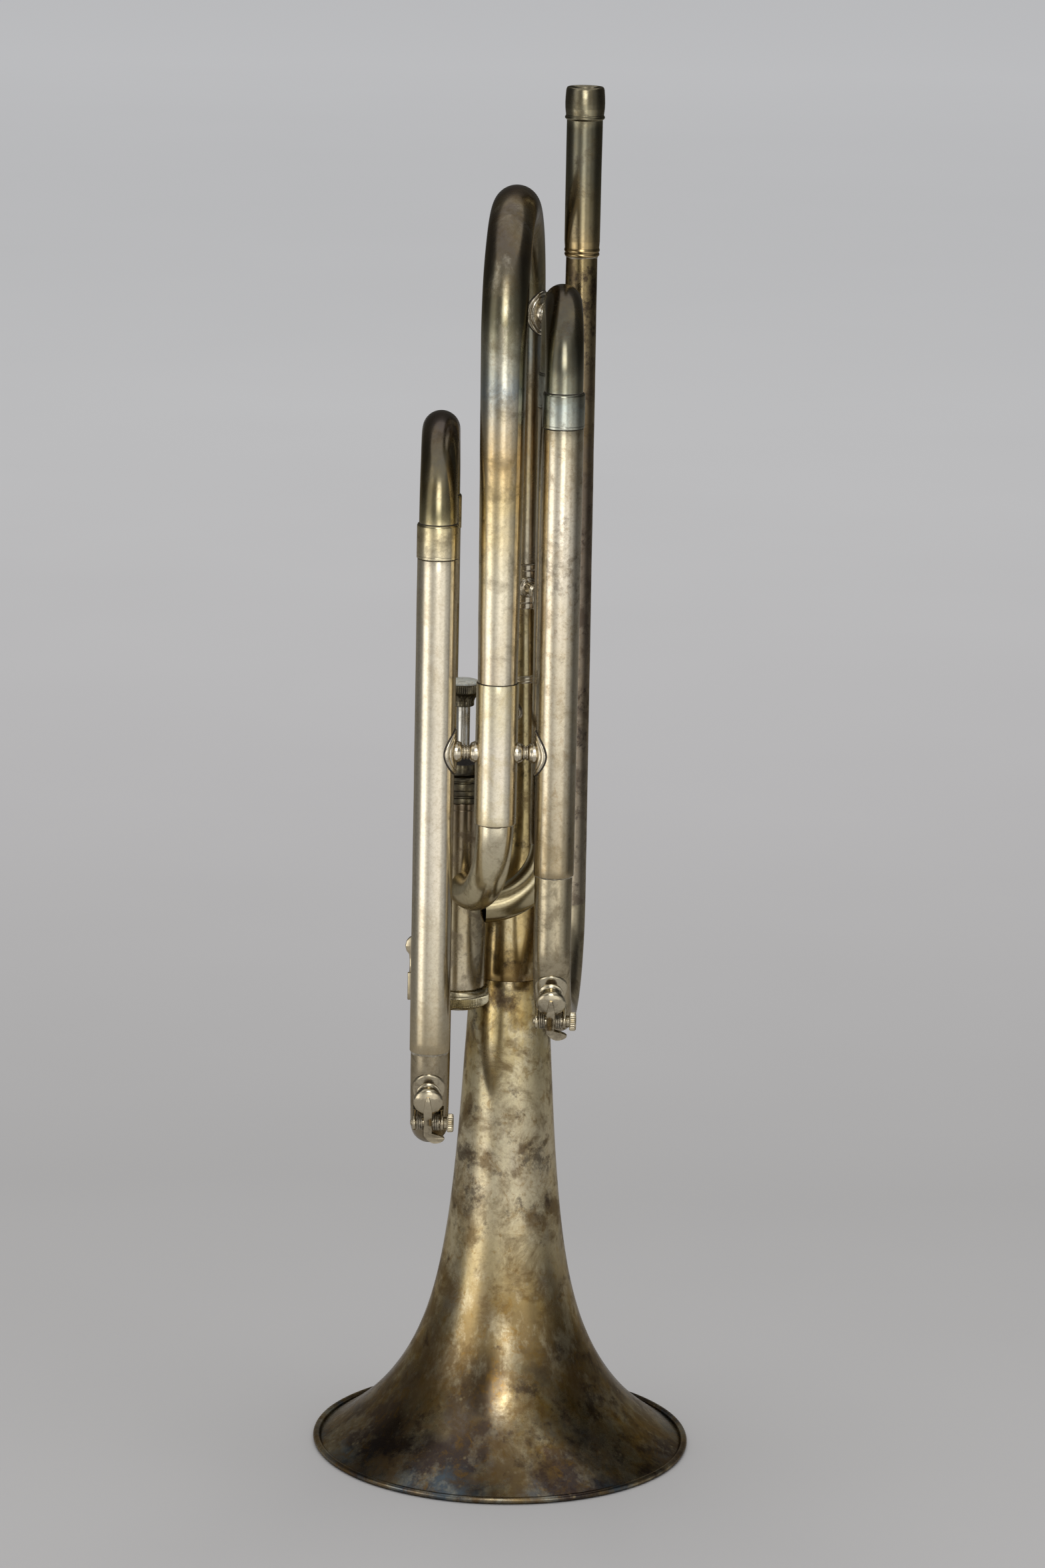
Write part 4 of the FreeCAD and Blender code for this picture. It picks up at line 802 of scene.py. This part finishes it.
def brace(name, start, start_radius, end, end_radius, height):
    """A turned stay with a domed foot at each tube and two rings on its neck."""
    way = (end - start).normalized()
    length = (end - start).length - start_radius - end_radius
    foot, ball, neck, collar, sunk = 4.2, 4.0, 2.4, 3.05, 1.3
    ring = length / 2 - 0.62
    half = [(0, -sunk), (foot, -sunk), (foot, 0.25), (foot - 0.15, 0.45), (ball, 0.55), (ball - 0.12, 1.0),
            (3.6, 1.5), (3.05, 1.95), (neck, 2.15), (neck, ring - 0.4), (collar, ring - 0.2),
            (collar, ring + 0.2), (neck, ring + 0.4)]
    outline = half + [(r, length - z) for r, z in reversed(half)]
    at = Matrix.Translation(start + way * start_radius + above(height))
    at = at @ way.to_track_quat("Z", "Y").to_matrix().to_4x4()
    turned(name + "_skin", outline, "brace", "brace_plate", name, at, soft=0.14, sides=64)


# rows of an oval plate, as shares of the way from its middle to its edge
EDGE_STEPS = (0, 0.2, 0.4, 0.6, 0.7, 0.76, 0.79, 0.82, 0.85, 0.88, 0.91, 0.94, 0.965, 0.985, 0.996, 1)
UNDER = 0.02            # gap between a plate and its tube


def oval(count, thickness, place):
    """A thin plate on a tube.

    thickness(share, edge) is its top's height, where edge falls to 0 at the rim, and
    place(share, angle, depth) is a point of it."""
    rows = []
    for share in EDGE_STEPS:
        edge = math.sqrt(1 - max(0.0, (share - 0.9) / 0.1) ** 2) if share < 1 else 0
        rows.append((share, thickness(share, edge)))
    rows += [(share, UNDER) for share in reversed(EDGE_STEPS)]
    return skin([[place(share, TAU * k / count, depth) for k in range(count if share else 1)]
                 for share, depth in rows])


def wrap(across, radius):
    """The angle that a width takes up round a tube."""
    return math.asin(max(-0.995, min(0.995, across / radius)))


def saddle(plan, tube, height, heading):
    """An oval plate bent round a tube, with a groove round its middle and a soft edge."""
    def thickness(share, edge):
        return SADDLE * (0.35 + 0.65 * edge) - 0.3 * max(0.0, 1 - abs(share - 0.82) / 0.05)

    def place(share, angle, depth):
        bend = wrap(7.55 * share * math.cos(angle), tube + SADDLE)
        return plan + polar(tube + depth, heading + bend, height + 8.75 * share * math.sin(angle))

    return oval(72, thickness, place)


def saddle_edge(plan, tube, height, heading):
    """The dark line round an oval plate: tarnish, and painted shade where its edge meets the tube."""
    path, count = [], 72
    for k in range(count + 1):
        a = TAU * k / count
        bend = wrap(7.62 * math.cos(a), tube + SADDLE)
        path.append(plan + polar(tube + 0.08, heading + bend, height + 8.82 * math.sin(a)))
    return pipe(path, 0.26, wall=0.2, sides=10, uneven=0)


def braces():
    front, leg, back = (Span(name).middle for name in ("front_brace_left", "leg_brace", "leadpipe_brace"))
    plated, bow = LEFT_LEG.radius + SADDLE, BOW_TUBE + 0.1
    slim = PIPE_TOP + (TUBE - PIPE_TOP) * (PIPE.top - back + 10) / (PIPE.top - PIPE.bottom)
    stem_here = STEM_TOP + (STEM.radius - STEM_TOP) * (STEM.top - front) / (STEM.top - STEM.bottom)
    brace("front_brace_left", LEFT_LEG.plan, plated, SLEEVE.plan, SLEEVE.radius, front)
    brace("front_brace_right", SLEEVE.plan, SLEEVE.radius, RIGHT_LEG.plan, plated, front)
    brace("sleeve_brace", SLEEVE.plan, SLEEVE.radius, STEM_AXIS, stem_here, front)
    brace("leg_brace", STEM_AXIS, Span("stem_ferrule").radius, RIGHT_BACK.plan, plated, leg)
    brace("leadpipe_brace", STEM_AXIS, bow + SADDLE, PIPE.plan, slim + SADDLE, back)
    plates = []
    for plan, tube, height, other in (
            (LEFT_LEG.plan, LEFT_LEG.radius, front, SLEEVE.plan),
            (RIGHT_LEG.plan, RIGHT_LEG.radius, front, SLEEVE.plan),
            (RIGHT_BACK.plan, RIGHT_BACK.radius, leg, STEM_AXIS),
            (STEM_AXIS, bow, back, PIPE.plan),
            (PIPE.plan, slim, back, STEM_AXIS)):
        way = other - plan
        plates.append((plan, tube, height, math.atan2(way.y, way.x)))
    for name, some in (("front", plates[:2]), ("rear", plates[2:])):
        build(name + "_saddle_skins", [saddle(*plate) for plate in some], "brace", "brace_plate",
              [name + "_brace_saddles"], crease=50)
    build("saddle_edges", [saddle_edge(*plate) for plate in plates[:4]], "seam_dirt_and_shade", "dark_plate")


# ---------------- solder and seams

def solder_ring(plan, tube, collar, height, seed, most=1.1):
    """A wandering fillet of solder below the sleeve that a tube enters."""
    tip = height - 0.01

    def shape(angle, radius, z):
        if z != tip:
            return 0.06 * wander(polar(9, angle, seed), 2), 0
        return 0, -most * (0.35 + 0.65 * abs(wander(polar(5, angle, seed), 2.4, seed)))

    outline = [(tube - 0.15, height + 0.3), (collar - 0.12, height + 0.05), (tube + 0.1, tip)]
    return lathe(outline, at=upright(plan), shape=shape)


def solder_rings():
    rings = [solder_ring(leg.plan, TUBE, leg.radius, leg.bottom, seed, most) for leg, seed, most in (
        (SLEEVE, 1, 1.1), (RIGHT_LEG, 2, 1.1), (RIGHT_BACK, 3, 1.1),
        (LEFT_LEG, 4, 1.8), (LEFT_BACK, 5, 1.1))]
    rings.append(solder_ring(PIPE.plan, 6.15, 6.6, RECEIVER.bottom, 6, 0.8))
    build("solder_fillets", rings, "solder", "tube_plate")


def seam_rings():
    """Dark lines where a tube goes into a ferrule or a sleeve: dirt, and painted shade of the narrow gap.
    """
    def seam(plan, tube, height, thick=0.34, proud=0.13):
        outline = [(tube - 0.2, height), (tube + proud, height), (tube + proud, height + thick * 0.7),
                   (tube - 0.02, height + thick), (tube - 0.2, height + thick)]
        return lathe(outline, at=upright(plan), shape=uneven_shape(plan, 0.04, 4, 3, tube))

    for name, legs in (("main_slide", (RIGHT_LEG, RIGHT_BACK)), ("valve_slide", (LEFT_LEG, LEFT_BACK))):
        top = Span(name + "_ferrules").top
        build(name + "_seams", [seam(leg.plan, TUBE, top) for leg in legs], "seam_dirt_and_shade", "dark_plate",
              body=name)
    still = [seam(SLEEVE.plan, BOW_FRONT + 0.1, SLEEVE.top - SEAM_GAP),
             seam(STEM_AXIS, STEM_TOP + 0.35, STEM.top - 0.2)]
    for leg in (LEFT_LEG, RIGHT_LEG, LEFT_BACK, RIGHT_BACK):
        still.append(seam(leg.plan, TUBE + 0.1, leg.top - SEAM_GAP - 0.05, 0.24, 0.3))
    build("tube_seams", still, "seam_dirt_and_shade", "dark_plate")


# ---------------- strips and small hardware

def bar(outline, low, high, at, inset):
    """A strip: an outline in the local YZ plane, drawn out along X, with bevelled edges."""
    count = len(outline)
    rings = []
    for x, shrink in ((low, inset), (low + inset, 0), (high - inset, 0), (high, inset)):
        ring = []
        for i, point in enumerate(outline):
            edge = (Vector(outline[(i + 1) % count]) - Vector(outline[i - 1])).normalized()
            ring.append(at @ Vector((x, *(Vector(point) - Vector((edge.y, -edge.x)) * shrink))))
        rings.append(ring)
    return skin(rings, loop=False, caps=True)


CURVE_STEPS = 5


def smooth_line(points):
    """A curve through the points."""
    result = []
    count = len(points)
    for i in range(count - 1):
        p0, p1, p2, p3 = (Vector(points[min(max(k, 0), count - 1)]) for k in range(i - 1, i + 3))
        for step in range(CURVE_STEPS):
            t = step / CURVE_STEPS
            result.append(0.5 * ((2 * p1) + (p2 - p0) * t + (2 * p0 - 5 * p1 + 4 * p2 - p3) * t * t
                                 + (3 * p1 - p0 - 3 * p2 + p3) * t ** 3))
    result.append(Vector(points[-1]))
    return result


def ribbon(spine, widths, thick, at):
    """A bent strip of changing width: spine points are (y, z) and widths (left, right) along X."""
    rings = []
    half = thick / 2
    soft = min(0.22, half * 0.8)
    for i, point in enumerate(spine):
        edge = (spine[min(i + 1, len(spine) - 1)] - spine[max(i - 1, 0)]).normalized()
        normal = Vector((-edge.y, edge.x))
        left, right = widths[i]
        section = [(-left, -half + soft), (-left, half - soft), (-left + soft, half),
                   ((right - left) / 2, half + 0.12), (right - soft, half), (right, half - soft),
                   (right, -half + soft), (right - soft, -half), (-left + soft, -half)]
        rings.append([at @ Vector((x, *(point + normal * out))) for x, out in section])
    return skin(rings, loop=False, caps=True)


def finger_hook():
    """Rises from the lower back leg, runs back and turns up to a round paddle."""
    box = Span("finger_hook")
    spine = [(0.9, 12), (0.9, 5), (1.3, 1.9), (4, 0.9), (12, 0.9), (20.5, 0.9), (25, 2.6), (27.6, 6.8)]
    spine += [(28.1, z) for z in (10, 12.5, 14, 16, 18, 19.5, 20.2)]
    points = smooth_line(moved(box.front, box.bottom, *spine))
    half = [2.6, 2.6, 2.6, 2.6, 2.5, 2.5, 2.5, 2.5, 2.5, 2.7, 3.8, 4.33, 3.8, 2.6, 1.0]
    widths = []
    for i in range(len(points)):
        at = min(i / CURVE_STEPS, len(half) - 1.001)
        k = int(at)
        w = half[k] + (half[k + 1] - half[k]) * (at - k)
        widths.append((w, w))
    side = Matrix.Translation((LEFT_BACK.x - TUBE - 0.4, 0, 0))
    build("finger_hook_skin", [ribbon(points, widths, 1.8, side)], "leg", "tube_plate", ["finger_hook"],
          crease=50)


def helix(radius, wire, turns, start, end, at, first_tail, last_tail):
    """A coil of round wire along local X with a straight tail at each end."""
    count = int(turns * 28)
    path = []
    for k in range(count + 1):
        t = k / count
        angle = TAU * turns * t
        path.append(Vector((start + (end - start) * t, radius * math.cos(angle), radius * math.sin(angle))))
    path = [path[0] + Vector(first_tail)] + path + [path[-1] + Vector(last_tail)]
    return pipe([at @ p for p in path], wire, wall=wire * 0.96, sides=12, uneven=0)


def water_key(side, leg, back, angle_down):
    """Plate, nipple, saddle, screw and springs stay; lever, cup and cork swing."""
    bend_radius = (back - leg.plan).length / 2
    height = Span(side + "_bottom_bend").bottom + bend_radius + TUBE
    below, reach = math.radians(angle_down), bend_radius + TUBE
    origin = Vector((leg.x, leg.y + bend_radius - reach * math.cos(below),
                     height - reach * math.sin(below)))
    at = Matrix.Translation(origin) @ tilted(90 + angle_down, "X")
    pivot_y, pivot_z = -11, 3.6
    hinge = at @ Matrix.Translation((0, pivot_y, pivot_z))
    pivot = hinge @ tilted(90, "Y")
    key, slot, body = "key", "key_plate", side + "_water_key"

    # plate: an oval that hugs the tube
    def place(share, angle, depth):
        across, up = 6.4 * share * math.cos(angle), 1 + 7.3 * share * math.sin(angle)
        tube = TUBE + depth
        sink = tube - math.sqrt(tube ** 2 - min(across ** 2, tube ** 2 - 0.01))
        arc = reach - math.sqrt(reach ** 2 - up ** 2)
        return at @ Vector((across, up, depth - sink - arc))

    build(side + "_drain_plate_skin", [oval(64, lambda share, edge: 0.25 + 0.43 * edge, place)], key, slot,
          [side + "_drain_plate"], crease=50)

    # nipple with a fillet at its foot
    outline = [(1.8, -1.3), (4.0, -1.3), (5.0, 0.5), (4.4, 0.9), (4.0, 1.5), (4.0, 3.2), (3.6, 3.8),
               (3.0, 4.15), (2.4, 4.15), (1.8, 3.7)]
    turned(side + "_nipple_skin", outline, key, slot, side + "_drain_nipple", at, None, 0.25, 3, sides=64)

    # cup, domed, with a turned rim; cork below it
    outline = [(0, 6.7), (5.0, 6.7), (5.0, 5.0), (5.5, 5.0), (5.8, 5.2), (5.8, 6.2), (5.65, 6.65),
               (5.2, 7.2), (4.3, 7.75), (3.2, 8.25), (2.0, 8.6), (0.9, 8.75), (0, 8.78)]
    turned(side + "_cup_skin", outline, key, slot, side + "_key_cup", at, soft=0.2, body=body)
    outline = [(0, 4.2), (4.6, 4.2), (4.9, 4.5), (4.9, 6.65), (0, 6.65)]
    turned(side + "_cork_skin", outline, "cork", "cork", side + "_key_cork", at, None,
           0.25, 3, 0.8, 64, body)

    # lever: pointed on the cup, arched, bent over the barrel, with a thumb tab curled to +X
    points = smooth_line([(3.4, 8.75), (1.5, 9.2), (-1.8, 9.5), (-5.0, 8.75), (-8.3, 7.1), (-11, 5.75),
                          (-13.2, 4.95), (-15.2, 4.35), (-17.4, 4.3), (-19.6, 4.85)])
    widths, half, tab, tab_width = [], 1.65, 0.78, 4.9
    for i in range(len(points)):
        t = i / (len(points) - 1)
        left = right = half * min(1.0, 0.3 + t * 3)
        if t > tab:
            right = half + tab_width * math.sin(min(1.0, (t - tab) / 0.12) * math.pi / 2)
            left -= 3.6 * max(0.0, (t - 0.82) / 0.18) ** 2
            right -= 2.8 * max(0.0, (t - 0.9) / 0.1) ** 2
        widths.append((left, right))
    barrel = soften([(1.3, -4.7), (1.8, -4.7), (1.8, 4.7), (1.3, 4.7)], 0.15, 3)
    build(side + "_lever_skin", [ribbon(points, widths, 1.3, at), lathe(barrel, 48, pivot)], key, slot,
          [side + "_key_lever"], body, 50)

    # saddle: two rounded lugs on a foot that follows the tube
    lugs = []
    inside, thick, r = 4.85, 1.2, 3.15
    start = inside + thick
    arch = [math.radians(12 * k) for k in range(16)]
    arch = [(r * math.cos(a), pivot_z + r * math.sin(a)) for a in arch]
    lug = moved(pivot_y, 0, (r, -5.0), *arch, (-r, -5.2))
    for low in (inside, -start):
        lugs.append(bar(lug, low, low + thick, at, 0.2))
    r += 0.05
    foot = moved(pivot_y, 0, (r, -5), (r, -0.6), (1, -0.85), (-r, -1.2), (-r, -5.2))
    lugs.append(bar(foot, 0.03 - start, start - 0.03, at, 0.15))
    build(side + "_key_saddle_skin", lugs, key, slot, [side + "_key_saddle"], crease=50)

    # hinge screw: rounded tail, shank, neck and a knurled head
    tail = -start - 0.95
    outline = [(0, tail), (0.8, tail + 0.05), (1.2, tail + 0.35), (1.25, start)]
    outline += moved(0, start, (2.3, 0.02), (2.3, 1.3), (2.6, 1.45), (3.3, 1.35), (3.65, 1.7),
                     (3.65, 2.4), (3.65, 3.2), (3.5, 3.7), (3.0, 3.95), (1.6, 4.0), (0, 4.0))
    turned(side + "_screw_skin", outline, key, slot, side + "_key_screw", pivot,
           knurl(30, 0.28, start + 1.5, start + 3.6, 3.4), 0.12, sides=240)

    # double coil spring with its legs on the lever and the foot
    coils = [helix(2.7, 0.4, 2.75, low, low + 2.2, hinge, (0, 0.2, -3.6), (0, 0.8, -2.2))
             for low in (2.1, -4.3)]
    build(side + "_spring_skin", coils, "spring_steel", "spring_steel", [side + "_key_spring"], crease=50)


def valve_spring():
    """The coil under the piston, which shortens as the valve goes down; here it is one fixed coil in a mesh
    of its own.
    """
    box = Span("valve_spring")
    wire, turns, stroke, tail = 0.54, 8, 18, 0.4
    at = Matrix.Translation(VALVE) @ tilted(-90, "Y")
    coil = helix(box.radius - wire, wire, turns, box.bottom + wire, box.top - wire, at, (0, 0, -tail),
                 (0, 0, tail))
    piece = build("valve_spring_skin", [coil], "spring_steel", "spring_steel", ["valve_spring"], crease=50)
    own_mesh(piece)


def repaint(node, paint):
    """A CAD mesh stays as it is, in a better material."""
    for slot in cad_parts[node].material_slots:
        slot.material = PAINT[paint]


# ---------------- studio

def stage(name, rings, material):
    """A mesh of rings of points that is no part of the horn."""
    verts, faces = skin(rings, loop=False)
    mesh = bpy.data.meshes.new(name)
    mesh.from_pydata(verts, [], faces)
    mesh.materials.append(material)
    thing = bpy.data.objects.new(name, mesh)
    bpy.context.scene.collection.objects.link(thing)
    return thing


def circle(radius, height=0):
    return [polar(radius, TAU * k / SIDES, height) for k in range(SIDES)]


# brightness and warmth of the light tent by compass angle: 0 faces the camera, 90 is the horn's right
TENT = ((-180, 0.34, 0), (-140, 0.26, 0), (-112, 0.15, 0), (-92, 0.2, 0), (-79, 0.32, 0), (-66, 1.7, 0.01),
        (-50, 2.05, 0.02), (-40, 1.0, 0.01), (-27, 0.58, 0), (-12, 0.85, 0), (8, 1.05, 0), (36, 1.16, 0.01),
        (49, 0.6, 0), (62, 0.52, 0), (76, 0.24, 0), (92, 0.1, 0), (125, 0.16, 0), (150, 0.28, 0),
        (180, 0.34, 0))


def tent():
    """The inside of a light tent round the horn. Only reflections see it."""
    paint = Paint("tent_cloth")
    paint.tree.nodes.remove(paint.shader)
    angle = paint.calc("ARCTAN2", paint.axis("X"), paint.times(paint.axis("Y"), -1))
    stops = [((a + 180) / 360, (level * (1 + warmth), level, level * (1 - 1.6 * warmth), 1.0))
             for a, level, warmth in TENT]
    height = paint.axis("Z")

    def glow_patch(middle, inner, outer, strength, heights):
        """Brighter within some degrees of a compass angle, between some heights in metres."""
        across = paint.calc("ABSOLUTE", paint.off(angle, math.radians(middle)))
        low, full, falling, top = heights
        return paint.times(
            paint.between(across, math.radians(inner), math.radians(outer), strength, 0.0),
            paint.times(paint.between(height, low, full), paint.between(height, falling, top, 1.0, 0.0)))

    overhead = glow_patch(0, 7, 16, 4.6, (0.46, 0.62, 0.95, 1.15))
    strip = glow_patch(4, 6, 14, 2.0, (0.24, 0.32, 0.38, 0.45))
    # dimmer above the slides
    plain = paint.plus(paint.between(height, 0.32, 0.46, 1.0, 0.32),
                       paint.between(height, 0.8, 1.2, 0.0, 0.3))
    glow = paint.node("ShaderNodeEmission")
    paint.feed(glow.inputs["Color"], paint.ramp(paint.between(angle, -math.pi, math.pi), stops))
    paint.feed(glow.inputs["Strength"], paint.plus(paint.plus(overhead, strip), plain))
    paint.feed(paint.tree.nodes["Material Output"].inputs["Surface"], glow.outputs[0])
    cloth = stage("light_tent", [circle(0.75, z) for z in (0.002, 0.3, 0.6, 0.9, 1.2)], paint.material)
    cloth.location = (0, -0.04, 0)
    cloth.visible_camera = cloth.visible_diffuse = cloth.visible_shadow = False
    cloth.visible_transmission = cloth.visible_volume_scatter = False


def floor():
    """A wide pale floor that runs out of sight, with painted light: darker a little behind the horn and
    brighter far back.
    """
    paint = Paint("paper_floor")
    away = paint.between(paint.axis("Y"), -0.5, 6)
    drift = paint.times(paint.off(paint.cloud(400, 3), 0.5), 0.05)
    # painted light: the ramp by distance darkens a band a little behind the horn and brightens the floor
    # far back
    base = paint.ramp(paint.plus(away, drift),
                      "0 b4b3b3, 0.06 b0afaf, 0.13 a6a5a5, 0.26 b5b4b5, 0.5 cccccd, 0.97 e5e5e6")
    paint.bump((paint.cloud(2, 3), 0.02))
    paint.shader.inputs["Specular IOR Level"].default_value = 0.0
    rings = [[(0, 0, 0)]] + [circle(radius) for radius in (0.4, 1.5, 5, 16, 40)]
    stage("floor", rings, paint.finish(base, 0.9, 0.0)).location.z = -0.0001


def studio():
    scene = bpy.context.scene
    world = scene.world = bpy.data.worlds.new("studio")
    world.use_nodes = True
    background = world.node_tree.nodes["Background"]
    background.inputs["Color"].default_value = (0.98, 0.985, 1.0, 1)
    background.inputs["Strength"].default_value = 0.62
    scene.view_settings.view_transform = "Standard"
    light = bpy.data.lights.new("top", "AREA")
    light.shape = "RECTANGLE"
    light.size = light.size_y = 3.2
    light.energy = 60
    light.color = (1, 0.985, 0.96)
    lamp = bpy.data.objects.new("top", light)
    lamp.location = Vector((0, 0.3, 3.2))
    lamp.rotation_euler = (-lamp.location).to_track_quat("-Z", "Y").to_euler()
    lamp.visible_camera = lamp.visible_glossy = False
    scene.collection.objects.link(lamp)


def camera():
    """At the photographed viewing angle: a long lens, looking down a little, turned slightly."""
    image_height_px, focal_px, sensor = 2352, 8100, 36
    place, pitch, roll = (3.74, -2117, 771), 13.1, 0.0205
    lens = bpy.data.cameras.new("camera")
    lens.sensor_fit = "VERTICAL"
    lens.sensor_height = sensor
    lens.lens = focal_px / image_height_px * sensor
    lens.clip_end = 200
    view = bpy.data.objects.new("camera", lens)
    view.matrix_world = (Matrix.Translation(Vector(place) * MM) @ tilted(90 - pitch, "X")
                         @ Matrix.Rotation(roll, 4, "Z"))
    bpy.context.scene.collection.objects.link(view)
    bpy.context.scene.camera = view


# ---------------- assembly

bell()
stem()
bow()
crooks_to_valve()
leadpipe()
receiver()
bottom_bends()
slide("main_slide", RIGHT_LEG, RIGHT_BACK, "main_crook", "right_leg")
slide("valve_slide", LEFT_LEG, LEFT_BACK, "crook", "leg")
elbows()
casing()
caps()
plunger()
braces()
solder_rings()
seam_rings()
finger_hook()
water_key("right", RIGHT_LEG, PIPE.plan, 25)
water_key("left", LEFT_LEG, LEFT_BACK.plan, 14.5)
valve_spring()
for node, paint in (("rim_wire", "bare_brass"), ("piston", "nickel"), ("piston_guide", "bare_brass")):
    repaint(node, paint)
floor()
tent()
studio()
camera()
